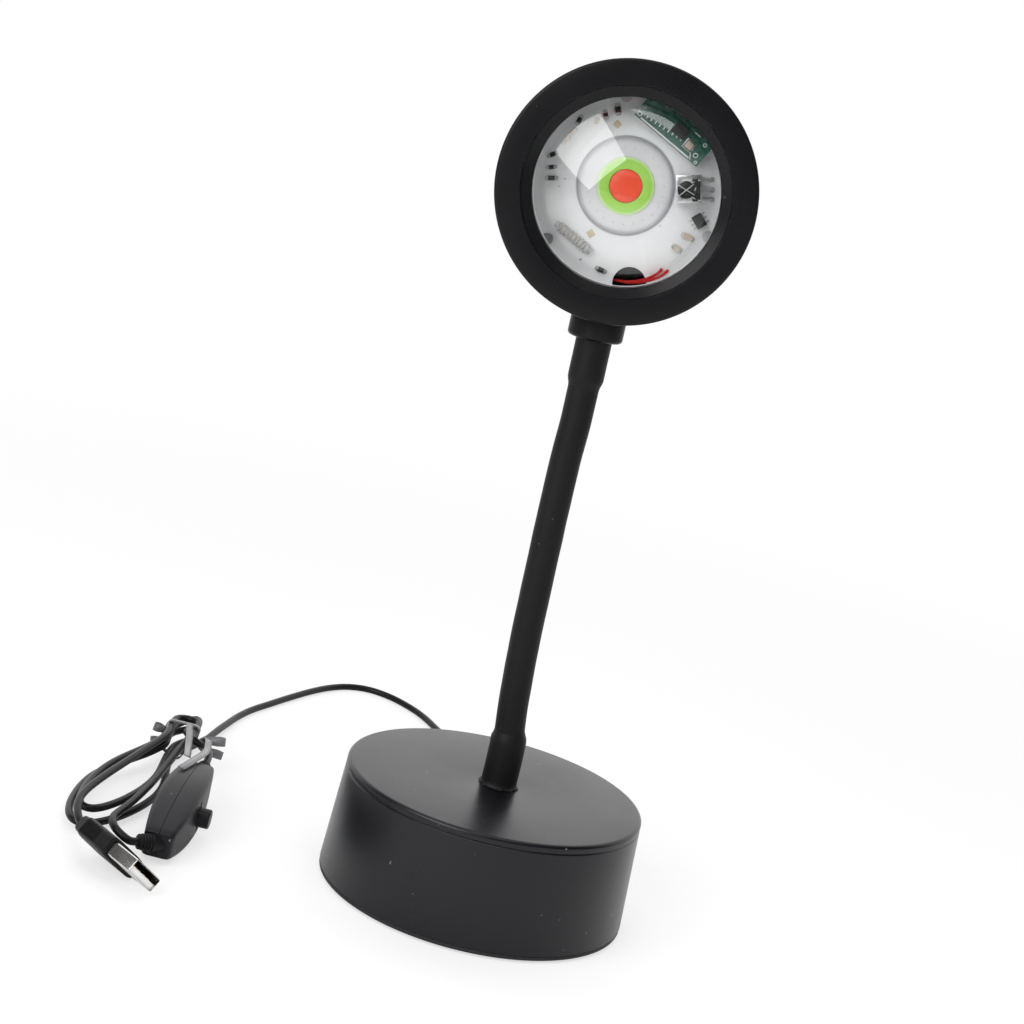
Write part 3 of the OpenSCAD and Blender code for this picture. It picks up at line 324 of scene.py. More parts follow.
relief_turn, relief_rise = radians(52.0), radians(14.0)
low_in, low_side, low_neck, low_ribs = 1.6 * MM, 0.6 * MM, 3.0 * MM, 4.5 * MM
low_axis = Vector((-sin(relief_turn),
                   -cos(relief_turn) * cos(case_pitch - relief_rise),
                   -cos(relief_turn) * sin(case_pitch - relief_rise)))
low_end = (case_at - (case_len / 2 - low_in) * case_axis
           + Vector((low_side, 0.0, 0.0))
           + (low_neck + low_ribs) * low_axis)
plug_root = Vector((-97.4, -56.4, 7.1)) * MM
plug_turn, plug_pitch = radians(-43.9), radians(0.7)
on_plug = (Matrix.Translation(plug_root) @ Matrix.Rotation(plug_turn, 4, "Z")
           @ Matrix.Rotation(plug_pitch, 4, "Y")
           @ Matrix.Rotation(radians(-39.0), 4, "X"))
grip_len, tail_len = 17.0 * MM, 3.0 * MM
plug_axis = (on_plug.to_3x3() @ Vector((1.0, 0.0, 0.0))).normalized()
plug_entry = plug_root - (grip_len + tail_len) * plug_axis
tail_route = millimetres([
    (-101.2, -42.8, 8), (-103.9, -41.2, 9), (-105.7, -38.1, 9.4),
    (-106.5, -34.4, 9.5), (-106.2, -30, 9.5), (-105.4, -24.5, 9.5),
    (-104.4, -16, 9.5), (-103.3, -2, 9.7), (-102.6, 14, 10.2),
    (-101.8, 30, 11.5), (-101.3, 40, 12), (-101.2, 48, 12), (-101.35, 55.2, 12),
    (-102.5, 58, 12), (-105.3, 59.2, 12), (-108.1, 58, 12), (-109.25, 55.2, 12),
    (-109, 48, 12), (-108.5, 40, 12), (-109.4, 32, 11.8), (-111.8, 20, 11.3),
    (-114.9, 4, 10.8), (-117.4, -10, 10.4), (-118.8, -22, 10),
    (-118.4, -30, 9.4), (-116.2, -37, 8.3)])
tail_line = even(curved(
    [low_end, low_end + 2 * cord_r * low_axis] + tail_route
    + [plug_entry - 2 * cord_r * plug_axis, plug_entry], 8), 0.8 * MM)
tail = lead("cord_to_plug", tail_line, ["cord_tail"])

# --------------------------------------------------------------------- tie
# A flat strip of soft grey film, wound once round the hank's waist. It hugs
# the strands, is knotted at the side, its ends are folded into small bow
# loops, and two loose ends lie over the strands towards the switch.
film = moulded("tie film", (0.085, 0.085, 0.09), 0.34, 1.9, 0.25, 300.0,
               Coat_Weight=0.5, Coat_Roughness=0.2)
waist = Vector((-105.4, 49.5, 7.3)) * MM
bm = bmesh.new()


def finished(name, bm, finish, body, smooth=35.0, nodes=(), place=None,
             turn=True):
    """Makes a piece from its mesh, dresses it and fixes it to its body.

    A piece without a body is fixed to none.
    """
    if place is not None:
        bm.transform(place)
    bmesh.ops.remove_doubles(bm, verts=bm.verts, dist=1e-7)
    if turn:
        bmesh.ops.recalc_face_normals(bm, faces=bm.faces)
    data = bpy.data.meshes.new(name)
    bm.to_mesh(data)
    bm.free()
    for face in data.polygons:
        face.use_smooth = True
    data.set_sharp_from_angle(angle=radians(smooth))
    data.materials.append(finish.mat)
    piece = bpy.data.objects.new(name, data)
    scene.collection.objects.link(piece)
    if body:
        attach(piece, body)
    if nodes:
        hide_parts(*nodes)
    return piece


def loops_between(bm, loops, closed=False):
    """Joins rings of points into a skin; a closed one meets its own start."""
    pairs = list(zip(loops, loops[1:])) + ([(loops[-1], loops[0])] if closed else [])
    for a, b in pairs:
        for k in range(len(a)):
            bm.faces.new((a[k - 1], a[k], b[k], b[k - 1]))


def oval(a, b, power, count):
    """An oval outline; a higher power squares its corners."""
    for k in range(count):
        angle = 2 * pi * (k + 0.5) / count
        c, s = cos(angle), sin(angle)
        r = (abs(c) ** power + abs(s) ** power) ** (-1 / power)
        yield c * r * a, s * r * b


def hugged(strands, gap, count=72):
    """The outline of a band drawn tight round the strands' round sections."""
    dots = sorted((x + gap * cos(a), z + gap * sin(a)) for x, z in strands
                  for a in [2 * pi * k / 24 for k in range(24)])
    sides = []
    for run in (dots, dots[::-1]):
        side = []
        for p in run:
            while len(side) > 1 and (
                    (side[-1][0] - side[-2][0]) * (p[1] - side[-2][1])
                    - (side[-1][1] - side[-2][1]) * (p[0] - side[-2][0])) <= 0:
                side.pop()
            side.append(p)
        sides += side[:-1]
    around = [Vector(p) for p in sides + sides[:1]]
    full = sum((q - p).length for p, q in zip(around, around[1:]))
    out, walked, i = [], 0.0, 0
    for k in range(count):
        while walked + (around[i + 1] - around[i]).length < full * k / count:
            walked += (around[i + 1] - around[i]).length
            i += 1
        step = around[i + 1] - around[i]
        out.append(around[i] + step * ((full * k / count - walked) / step.length))
    return out


def film_loop(outline, width, place, pinch=0.0):
    """One closed loop of film; its width may narrow towards the knot."""
    reach = max(abs(x) for x, y in outline)
    loops = []
    for side in (-1, 1):
        loops.append([bm.verts.new(place @ (Vector((
            x, y, side * width / 2 * (1 - pinch * (1 - min(abs(x) / reach * 1.6, 1)))
        )) * MM)) for x, y in outline])
    loops_between(bm, loops)


in_waist = Matrix.Translation(Vector((0, waist.y, 0))) @ Matrix.Rotation(
    pi / 2, 4, "X")
film_loop(hugged([(-105.5, 2.7), (-110.1, 4.8), (-105.6, 5.7), (-110.1, 7.8),
                  (-101.7, 9.0), (-101.2, 12.0), (-109.0, 12.0)], 1.62), 2.3,
          in_waist)
bows = [(8.4, 2.3, 0, 8, -8, 7.2, 3.6, 2.7), (8.2, -0.7, -0.6, -7, -14, 7.4, 3.4, 2.6),
        (-5.6, 2.4, 0, 172, 8, 4.4, 3.3, 2.6), (-5.6, -1.4, -0.4, 189, 12, 4.6, 3.3, 2.5)]
for x, z, y, rise, roll, long, deep, width in bows:
    film_loop([(u + long / 2 - 0.6, v) for u, v in oval(long / 2, deep / 2, 2.2, 48)],
              width, Matrix.Translation(waist + Vector((x, y, z)) * MM)
              @ Matrix.Rotation(radians(-rise), 4, "Y")
              @ Matrix.Rotation(radians(roll), 4, "X"), 0.4)
for turn, lean in ((0, 90), (60, 40), (120, -40), (40, 100)):
    film_loop(list(oval(1.7, 1.9, 2.6, 32)), 2.0, Matrix.Translation(
        waist + Vector((8.2, 0, 0.7)) * MM) @ Matrix.Rotation(radians(turn), 4, "Y")
        @ Matrix.Rotation(radians(lean), 4, "X"))
for path in ([(-97.4, 49.2, 9.2), (-94.9, 41, 12.9), (-93, 30, 13.6), (-92.6, 20, 15.3),
              (-93.4, 10.5, 16.4), (-94.3, 3, 16.9), (-95.2, -1.5, 17)],
             [(-103.2, 48.4, 14), (-101.3, 40, 14), (-99.3, 30, 13.8),
              (-97.6, 21, 14.6), (-96.6, 15, 15.2)]):
    line = curved(millimetres(path), 8)
    edges = []
    for k, place in enumerate(line):
        ahead_k = line[min(k + 1, len(line) - 1)] - line[max(k - 1, 0)]
        flat = ahead_k.cross(Vector((0.25, 0, 1))).normalized()
        edges.append([bm.verts.new(place + flat * s * MM) for s in (-1.15, 1.15)])
    for p, q in zip(edges, edges[1:]):
        bm.faces.new((p[0], p[1], q[1], q[0]))
tie = finished("cord_tie_film", bm, film, "base", 50, ["cord_tie"], turn=False)
wall = tie.modifiers.new("film", "SOLIDIFY")
wall.thickness = 0.3 * MM
wall.offset = 0.0

# ------------------------------------------------------------------ switch
# A push switch moulded in two halves of satin black plastic, held by two
# screws from the back. Its case is boat-shaped, with the button in a window.
case_plastic = moulded("switch case plastic", (0.0095, 0.0095, 0.0112), 0.4, 1.5, 0.3,
                       2200.0, 0.5)
case_half_w, case_half_t = 8.0 * MM, 6.8 * MM
case_end_w, case_end_t = 4.2 * MM, 4.3 * MM


def boat(x, middle, end):
    """Half the case's size at a place along it: an arc that meets blunt ends."""
    rise = middle - end
    radius = ((case_len / 2) ** 2 + rise * rise) / (2 * rise)
    return middle - radius + sqrt(max(radius * radius - x * x, 0.0))


def case_half(sign):
    bm = bmesh.new()
    rows = [-1 + 2 * i / 40 for i in range(41)]
    rows = [-0.99, *rows[1:-1], 0.99]
    loops = []
    for u in [-1.0, -0.998, *rows, 0.998, 1.0]:
        x = u * case_len / 2
        tip = max(abs(u) - 0.94, 0.0) / 0.06
        shrink = 1.0 - 0.11 * tip**3
        loops.append([bm.verts.new((x, y * shrink, z * shrink)) for y, z in oval(
            boat(x, case_half_w, case_end_w), boat(x, case_half_t, case_end_t),
            6.5, 96)])
    loops_between(bm, loops)
    bmesh.ops.contextual_create(bm, geom=loops[0])
    bmesh.ops.contextual_create(bm, geom=loops[-1])
    bmesh.ops.bisect_plane(bm, geom=bm.verts[:] + bm.edges[:] + bm.faces[:],
                           plane_co=(0, 0, sign * 0.07 * MM),
                           plane_no=(0, 0, sign), clear_inner=True)
    bmesh.ops.holes_fill(bm, edges=[e for e in bm.edges if e.is_boundary])
    return bm


def cut_out(piece, *shapes):
    """Cuts solid shapes out of a piece, and leaves its mesh cut."""
    tools = []
    for bm in shapes:
        bmesh.ops.recalc_face_normals(bm, faces=bm.faces)
        data = bpy.data.meshes.new("cutter")
        bm.to_mesh(data)
        bm.free()
        tool = bpy.data.objects.new("cutter", data)
        scene.collection.objects.link(tool)
        tools.append(tool)
        cut = piece.modifiers.new("cut", "BOOLEAN")
        cut.object, cut.operation, cut.solver = tool, "DIFFERENCE", "EXACT"
    bpy.context.view_layer.update()
    solid = piece.evaluated_get(bpy.context.evaluated_depsgraph_get())
    cut_mesh = bpy.data.meshes.new_from_object(solid)
    piece.modifiers.clear()
    piece.data = cut_mesh
    for tool in tools:
        bpy.data.objects.remove(tool)


def rod(radius, low, high, place=Matrix(), segments=64):
    bm = bmesh.new()
    bmesh.ops.create_cone(bm, cap_ends=True, segments=segments, radius1=radius * MM,
                          radius2=radius * MM, depth=(high - low) * MM,
                          matrix=place @ Matrix.Translation(
                              (0.0, 0.0, (low + high) / 2 * MM)))
    return bm


def block(size, at=(0, 0, 0), place=Matrix(), edge=0.0, turn=0.0):
    """A bar: its size, the middle of its lower face, and its eased edges."""
    bm = bmesh.new()
    bmesh.ops.create_cube(bm, size=1.0)
    bmesh.ops.scale(bm, vec=Vector(size) * MM, verts=bm.verts)
    if edge:
        bmesh.ops.bevel(bm, geom=bm.edges[:], offset=edge * MM, segments=2,
                        affect="EDGES", profile=0.5, material=-1)
    bm.transform(place @ Matrix.Translation(
        Vector((at[0], at[1], at[2] + size[2] / 2)) * MM)
        @ Matrix.Rotation(radians(turn), 4, "Z"))
    return bm


def gathered(*pieces):
    """Several forms in one mesh."""
    whole = bmesh.new()
    for bm in pieces:
        data = bpy.data.meshes.new("piece")
        bm.to_mesh(data)
        bm.free()
        whole.from_mesh(data)
        bpy.data.meshes.remove(data)
    return whole


def along_x(place, x, towards=1):
    return place @ Matrix.Translation((x * MM, 0, 0)) @ Matrix.Rotation(
        towards * pi / 2, 4, "Y")


at_low = (Matrix.Translation(low_end - (low_neck + low_ribs) * low_axis)
          @ low_axis.to_track_quat("Z", "Y").to_matrix().to_4x4())
button_x = 2.25
for name, sign, node in (("switch_front", 1, "switch_case_front"),
                         ("switch_back", -1, "switch_case_back")):
    half = finished(name, case_half(sign), case_plastic, "base", 40, [node],
                    on_switch)
    bores = [rod(2.55, -1.0, 6.0, along_x(on_switch, -case_len / MM / 2)),
             rod(2.55, -2.0, 12.0, at_low), rod(3.2, 2.8, 12.0, at_low)]
    if sign > 0:
        bores += [rod(3.2, 1.0, 12.0, on_switch @ Matrix.Translation(
                      (button_x * MM, 0, 0))),
                  block((1.6, 10, 9), (button_x, 0, 2), on_switch)]
    else:
        bores += [rod(1.95, -12.0, -2.6, on_switch @ Matrix.Translation(
                      (x * MM, 0, 0))) for x in (-17, 17)]
    cut_out(half, *bores)
    half.data.set_sharp_from_angle(angle=radians(40))


def turned(profile, steps=96):
    """A turned form: (radius, height) points in mm spun round the Z axis."""
    bm = bmesh.new()
    verts = [bm.verts.new((r * MM, 0.0, z * MM)) for r, z in profile]
    edges = [bm.edges.new(pair) for pair in zip(verts, verts[1:] + verts[:1])]
    bmesh.ops.spin(bm, geom=verts + edges, cent=(0, 0, 0), axis=(0, 0, 1),
                   angle=2 * pi, steps=steps, use_merge=True)
    bmesh.ops.remove_doubles(bm, verts=bm.verts, dist=1e-7)
    flat = [f for f in bm.faces if f.calc_area() < 1e-14]
    bmesh.ops.delete(bm, geom=flat, context="FACES_KEEP_BOUNDARY")
    return bm


def softened(points, radius, steps=5):
    """The outline with each corner off the axis turned into a small arc; a
    third number in a point is its own radius."""
    out = []
    n = len(points)
    for i, p in enumerate(points):
        here = Vector(p[:2])
        before = Vector(points[i - 1][:2]) - here
        after = Vector(points[(i + 1) % n][:2]) - here
        r = p[2] if len(p) > 2 else radius
        half = before.angle(after) / 2
        if r <= 0 or here.x < 1e-6 or half > pi / 2 - 0.02:
            out.append(tuple(here))
            continue
        reach = min(r / tan(half), before.length * 0.49, after.length * 0.49)
        middle = (before.normalized() + after.normalized()).normalized()
        centre = here + middle * reach / cos(half)
        a, b = here + before.normalized() * reach, here + after.normalized() * reach
        for k in range(steps + 1):
            swing = (a - centre).slerp(b - centre, k / steps)
            out.append(tuple(centre + swing.normalized() * (a - centre).length))
    return out


button_plastic = moulded("button plastic", (0.006, 0.006, 0.006), 0.38, 1.6, 0.25,
                         2200.0, 0.4)
button = finished("push_button", turned(softened([
    (0, -0.2), (1.3, -0.2), (1.3, 3.4), (4.3, 3.4), (4.3, 4.5), (3, 4.5),
    (3, 10.4, 0.5), (0, 10.2)], 0.12)), button_plastic, "button", 40,
    ["switch_button"], on_switch @ Matrix.Translation((button_x * MM, 0, 0)))

# The reliefs are soft sleeves moulded on the cord, ribbed so that it bends
# in an even curve where it enters the switch.
relief_rubber = moulded("relief rubber", (0.006, 0.006, 0.0066), 0.5, 1.7, 0.3,
                        1800.0, 0.5)


def ribbed(neck, length):
    rows = [(0, -neck), (2.5, -neck), (2.5, 0)]
    for i in range(5):
        p, r = length / 5, 3 - 0.8 * (i + 0.5) / 5
        z = i * p
        rows += [(r, z), (r, z + 0.62 * p), (r - 0.5, z + 0.7 * p), (r - 0.5, z + p)]
    return turned(softened(rows + [(0, length)], 0.14, 3), 64)


reliefs = [
    finished("relief_top", ribbed(3.4, 7.0), relief_rubber, "base", 50,
             ["switch_relief_top"], along_x(on_switch, -case_len / MM / 2, -1)),
    finished("relief_low", ribbed(4.0, 4.5), relief_rubber, "base", 50,
             ["switch_relief_low"], at_low @ Matrix.Translation((0, 0, low_neck)))]

# -------------------------------------------------------------------- plug
# A moulded grip over a folded nickel-plated shell. The grip is ribbed on its
# narrow sides; inside the shell lies a white tongue with four contacts.
grip_plastic = moulded("plug grip plastic", (0.0075, 0.0075, 0.0083), 0.44, 1.6, 0.35,
                       1900.0, 0.6)


def lofted(rows, power, count=72):
    """A bar along X through rounded rings: place, width, thickness, groove."""
    bm = bmesh.new()
    loops = []
    for x, w, t, groove in rows:
        ring = []
        for y, z in oval(w / 2, t / 2, power, count):
            if abs(y) > w * 0.4 and abs(z) < t * 0.36:
                y -= groove if y > 0 else -groove
            ring.append(bm.verts.new(Vector((x, y, z)) * MM))
        loops.append(ring)
    loops_between(bm, loops)
    bmesh.ops.contextual_create(bm, geom=loops[0])
    bmesh.ops.contextual_create(bm, geom=loops[-1])
    return bm


rows = [(-20, 3.4, 3.4, 0), (-19.8, 3.9, 3.9, 0), (-17.05, 4.4, 4.4, 0),
        (-17.0, 13.2, 4.6, 0), (-16.9, 13.7, 5.1, 0), (-16.6, 14, 5.4, 0),
        (-14.1, 14, 5.4, 0), (-14.0, 14.1, 5.5, 0), (-13.95, 15.2, 5.9, 0),
        (-13.8, 15.8, 6.2, 0), (-13.5, 16, 6.4, 0)]
for i in range(14):
    x = -12.7 + i * 0.56
    rows += [(x + d, 16, 6.4, g) for d, g in (
        (-0.16, 0), (-0.1, 0.22), (0.1, 0.22), (0.16, 0))]
rows += [(-3.55, 16, 6.4, 0), (-3.5, 15.85, 6.25, 0), (-3.35, 15.85, 6.25, 0),
         (-3.3, 16, 6.4, 0), (-0.5, 16, 6.4, 0), (-0.15, 15.8, 6.2, 0),
         (0, 15.2, 5.7, 0)]
grip = finished("plug_grip_body", lofted(rows, 6.0), grip_plastic, "base", 40,
                ["plug_grip"], on_plug)
cut_out(grip, block((10, 12.2, 4.7), (0, 0, -2.35), on_plug))
grip.data.set_sharp_from_angle(angle=radians(40))

plate = Finish("nickel plate", (0.5, 0.49, 0.47), 0.2, Metallic=1.0)
drawn = plate.grain(300.0, 3.0, 0.6, stretch=(0.2, 1.0, 1.0))
smear = plate.grain(90.0, 3.0)
plate.give("Base Color", plate.blend(smear, (0.5, 0.49, 0.47), (0.7, 0.69, 0.67)))
plate.give("Roughness", 0.1 + smear * 0.12 + drawn * 0.06)
plate.relief(drawn, 0.08, 0.00004)
shell = finished("plug_shell_plate", lofted(
    [(-5, 11.7, 4.2, 0), (-4.8, 12, 4.5, 0), (11.3, 12, 4.5, 0),
     (11.45, 11.9, 4.4, 0), (11.5, 11.7, 4.2, 0)], 12.0, 96), plate, "base", 35,
    ["plug_shell"], on_plug)
cut_out(shell, block((20, 11.4, 3.9), (3.25, 0, -1.95), on_plug),
        *[block((2, 2.2, 12), (6.2, y, -6), on_plug) for y in (-2.6, 2.6)])
shell.data.set_sharp_from_angle(angle=radians(35))


def eased(node, finish, width=0.12, angle=30.0, segments=2):
    """A CAD node's own form with its edges eased and a finish of its own."""
    source = frame["nodes"][node]
    bm = bmesh.new()
    bm.from_mesh(source.data)
    bmesh.ops.remove_doubles(bm, verts=bm.verts, dist=2e-6)
    bmesh.ops.dissolve_limit(bm, angle_limit=radians(1.0), verts=bm.verts,
                             edges=bm.edges)
    sharp = [e for e in bm.edges
             if len(e.link_faces) == 2 and e.calc_face_angle(0.0) > radians(angle)]
    if width:
        bmesh.ops.bevel(bm, geom=sharp, offset=width * MM, segments=segments,
                        affect="EDGES", profile=0.5, material=-1, clamp_overlap=True)
    piece = finished(node + "_piece", bm, finish, source["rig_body"], 40, [node],
                     turn=False)
    return piece


ivory = moulded("insulator white", (0.78, 0.78, 0.76), 0.4, 1.04, 0.2, 1500.0)


def mottled(name, dark, pale, rough, swing, scale, spread=0.5, detail=3.0, **fixed):
    """A finish that drifts between two tones, and is rougher where it is pale."""
    f = Finish(name, dark, rough, **fixed)
    f.patch = f.grain(scale, detail, spread)
    f.give("Base Color", f.blend(f.patch, dark, pale))
    if swing:
        f.give("Roughness", rough + f.patch * swing)
    return f


gold = mottled("contact gold", (0.7, 0.5, 0.2), (0.9, 0.7, 0.36), 0.16, 0.2, 700.0,
               Metallic=1.0)
tongue = eased("plug_tongue", ivory, 0.15)
contacts = eased("plug_contacts", gold, 0.08)

latch = eased("switch_latch", ivory, 0.2)
steel = mottled("bright steel", (0.46, 0.46, 0.48), (0.68, 0.68, 0.7), 0.22, 0.2,
                420.0, 0.6, Metallic=1.0)
steel.relief(steel.patch, 0.1, 0.00005)
screws = eased("switch_screws", steel, 0.15)
length_of(feed_line)
length_of(tail_line)

# -------------------------------------------------------------------- drum
# The weighted foot: a drum moulded in satin black plastic, with a parting
# line under its rounded top edge, a base plate and a thin rubber pad.
# Its top is brushed by light handling and carries a little dust.
base_r, top_r, base_h, rim_r, wall_t = 47.5, 45.9, 36.2, 1.5, 1.6
seam_z = base_h - 2.6


def side_r(z):
    return base_r + (top_r - base_r) * (z - 2.0) / (base_h - rim_r - 2.0)


satin = moulded("drum plastic", (0.0035, 0.0035, 0.0052), 0.3, 1.25, 0.35, 2600.0, 0.35,
               Specular_IOR_Level=0.32)
drum = finished("base_drum", turned(softened([
    (base_r - wall_t, 2.0, 0.2), (base_r, 2.0, 0.35),
    (side_r(seam_z - 0.3), seam_z - 0.3, 0.12), (side_r(seam_z) - 0.3, seam_z, 0.08),
    (side_r(seam_z + 0.3), seam_z + 0.3, 0.12), (top_r, base_h, rim_r),
    (4.1, base_h, 0.2), (4.1, base_h - wall_t, 0.2),
    (top_r - wall_t, base_h - wall_t, 0.6)], 0.2, 8), 192), satin, "base", 30,
    ["base_shell"])
plate_black = moulded("base plate", (0.018, 0.018, 0.019), 0.5, 1.5, 0.4, 1500.0)
rubber = moulded("foot pad rubber", (0.02, 0.02, 0.02), 0.75, 1.5, 0.6, 900.0)
iron = moulded("cast iron", (0.13, 0.125, 0.12), 0.6, 1.5, 0.6, 700.0, Metallic=0.8)
eased("base_plate", plate_black, 0.25)
eased("base_pad", rubber, 0.2)
eased("base_weight", iron, 0.5)
eased("plate_screws", steel, 0.2)
eased("neck_washer", steel, 0.15)
eased("neck_nut", steel, 0.25)

# The cord leaves through a soft outlet: a flange on the wall, a groove that
# holds it in the wall, and six ribs that taper to the cord.
grommet_rows = [(0, -4.6), (3.0, -4.6), (3.0, -2.6), (3.4, -2.6), (3.4, 0),
                (5, 0), (5, 1.5, 0.5)]
for i in range(6):
    z, r, p = 1.5 + i * 14 / 6, 3.1 - i * 0.22, 14 / 6
    grommet_rows += [(r, z), (r - 0.1, z + p - 0.9), (r - 0.6, z + p - 0.8),
                     (r - 0.6, z + p)]
grommet = finished("cord_outlet", turned(
    softened(grommet_rows + [(0, 15.5)], 0.18, 4), 64), relief_rubber, "base", 50,
    ["cord_grommet"], Matrix.Translation((0, 47.6 * MM, 8 * MM))
    @ Matrix.Rotation(-pi / 2, 4, "X"))
inner_route = millimetres([
    (0, 43, 8), (0, 40, 8), (0, 30, 8), (0, 20, 9.5), (0.35, 10, 14),
    (0.7, 3, 20), (0.7, 0.5, 23.7), (0.7, 0, 26.2)])
lead("cord_in_base", curved(inner_route, 8), ["base_lead"], 0.9 * MM)

# -------------------------------------------------------------------- neck
# A steel gooseneck of ball-jointed links under a black silicone sleeve. The
# sleeve is thicker where its ends are pushed over the brass ferrules, and its
# foot is flared, with an uneven cut edge that lies on the drum.
neck_len = 139.5
neck_x = 0.7
spans = [13, 11, 13, 13, 13, 13, 13, 13, 13, 24.5]
leans = [0, -6.5, -3.7, -2.6, -1.3, -1.3, -1.1, -0.7, 1.5, -1.2]
knots = [(-10.0, Vector((neck_x, 0.0, base_h - 10.0)))]
knots.append((0.0, Vector((neck_x, 0.0, base_h))))
for span, lean in zip(spans, leans):
    s, place = knots[-1]
    heading = Vector((sin(radians(lean)), 0.0, cos(radians(lean))))
    knots.append((s + span, place + span * heading))
head_at = knots[-1][1] * MM
knots.append((neck_len + 30.0, knots[-1][1] + 30.0 * heading))


def bent(s):
    for (s0, p0), (s1, p1) in zip(knots, knots[1:]):
        if s <= s1:
            return p0.lerp(p1, (s - s0) / (s1 - s0))
    return knots[-1][1]


def neck_at(s):
    """A point of the neck's middle line, a given length above the drum's top."""
    return (bent(s - 3) + 2 * bent(s) + bent(s + 3)) * (MM / 4)


def tube(stations, outside, inside=None, count=64):
    """A hose along the neck with its own radii, open or walled."""
    bm = bmesh.new()
    skins = []
    for radius in (outside, inside):
        if radius is None:
            continue
        loops = []
        for s in stations:
            middle, ahead_s = neck_at(s), neck_at(s + 0.4) - neck_at(s - 0.4)
            side = ahead_s.cross(Vector((0, 1, 0))).normalized()
            other = side.cross(ahead_s).normalized()
            loops.append([bm.verts.new(
                middle + (side * cos(a) + other * sin(a)) * radius(s, a) * MM)
                for a in [2 * pi * k / count for k in range(count)]])
        skins.append(loops)
    if inside:
        loops_between(bm, skins[0] + skins[1][::-1], closed=True)
    else:
        loops_between(bm, skins[0])
        bmesh.ops.contextual_create(bm, geom=skins[0][0])
        bmesh.ops.contextual_create(bm, geom=skins[0][-1])
    return bm


def sleeve_r(s, a):
    if s < 1.6:
        ragged = noise.noise(Vector((cos(a) * 3, sin(a) * 3, 4.0)))
        ragged += 0.5 * noise.noise(Vector((cos(a) * 9, sin(a) * 9, 1.0)))
        return 5.5 + (0.65 + 0.5 * ragged) * max(1 - (s - 0.2) / 1.0, 0.0) ** 1.4
    wide = lookup(s, [(0, 5.5), (14.6, 5.5), (15.4, 5.42), (17.2, 4.68), (17.9, 4.6),
                      (124.6, 4.6), (125.3, 4.66), (127.2, 5.26), (127.9, 5.35),
                      (140, 5.35)])
    swell = noise.noise(Vector((cos(a) * 0.7, sin(a) * 0.7, s * 0.16)))
    return wide + 0.05 * swell


silicone = moulded("sleeve silicone", (0.0052, 0.0052, 0.0059), 0.5, 1.35, 0.35, 1700.0,
                   0.25)
chain = ["base", *[f"neck_{i}" for i in range(1, 8)], "head"]
first_pivot, link = 24.0, 13.0
half_bend = 6.2
middle_joint = 4
foot_stations = [0.2, 0.3, 0.42, 0.56, 0.72, 0.9, 1.2]


def evenly(start, stop, gap):
    """Places along the neck from start to stop, about a gap apart."""
    count = max(round((stop - start) / gap), 2)
    return [start + (stop - start) * k / count for k in range(count + 1)]


def ball_halves(start, stop, pivot, gap, outside, inside):
    """Two lengths of tube that end in one ball round a joint, one in the other."""
    ball = outside(pivot, 0)
    past = ball * (0.5 if inside else 0.96)
    near = [pivot + past * k / 8 for k in range(-8, 9)]

    def bore(s, a):
        if abs(s - pivot) > past + 0.01:
            return inside(s, a)
        return min(inside(s, a), sqrt(ball**2 - (s - pivot) ** 2) - 0.06)

    for way, low, high in ((1, start, pivot + past), (-1, pivot - past, stop)):
        def skin(s, a):
            beyond = (s - pivot) * way
            if beyond <= 0:
                return outside(s, a)
            return sqrt(ball**2 - beyond**2) - 0.015

        stations = [s for s in evenly(low, high, gap) if abs(s - pivot) > past + 0.1]
        yield sorted(stations + near), skin, bore if inside else None


def along_neck(name, low, high, gap, outside, inside, finish, node):
    """Pieces of a soft tube; a piece that crosses a joint is fixed to no body, the end
    pieces to the base and the head.

    At the middle joint it is two rigid halves, that meet in a ball.
    """
    ends = [low, *[first_pivot + (i - 0.5) * link for i in range(9)], high]
    for i, (start, stop) in enumerate(zip(ends, ends[1:])):
        pivot = first_pivot + (i - 1) * link
        crosses = 0 < i < 9
        stations = evenly(start, stop, gap)
        if i == 0 and inside:
            stations = foot_stations + stations[2:]
        made = [(f"{name}_{i}", None if crosses else chain[min(i, 8)],
                 (stations, outside, inside))]
        if i == middle_joint:
            halves = ball_halves(start, stop, pivot, gap, outside, inside)
            made = zip((f"{name}_{i}_low", f"{name}_{i}_high"), chain[i - 1:i + 1],
                       halves)
        for label, body, form in made:
            piece = finished(label, tube(*form, 64 if inside else 16), finish, body, 50)
            if not body:
                chain[i - 1]
                neck_at(pivot - half_bend)
                neck_at(pivot + half_bend)
                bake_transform(piece)
            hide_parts(node)


along_neck("sleeve", 0.2, neck_len - 0.2, 1.0, sleeve_r,
           lambda s, a: sleeve_r(max(s, 1.7), a) - 0.7, silicone,
           "neck_sleeve")
along_neck("neck_cord", -10.0, 155.0, 4.0, lambda s, a: 0.9, None, vinyl,
           "neck_lead")
brass = mottled("brass", (0.5, 0.36, 0.15), (0.7, 0.54, 0.26), 0.22, 0.2, 500.0,
                Metallic=1.0)
eased("lower_ferrule", brass, 0.15)
eased("upper_ferrule", brass, 0.15)
for node in [n for n in frame["nodes"] if n.startswith("hose")]:
    eased(node, steel, 0.08)

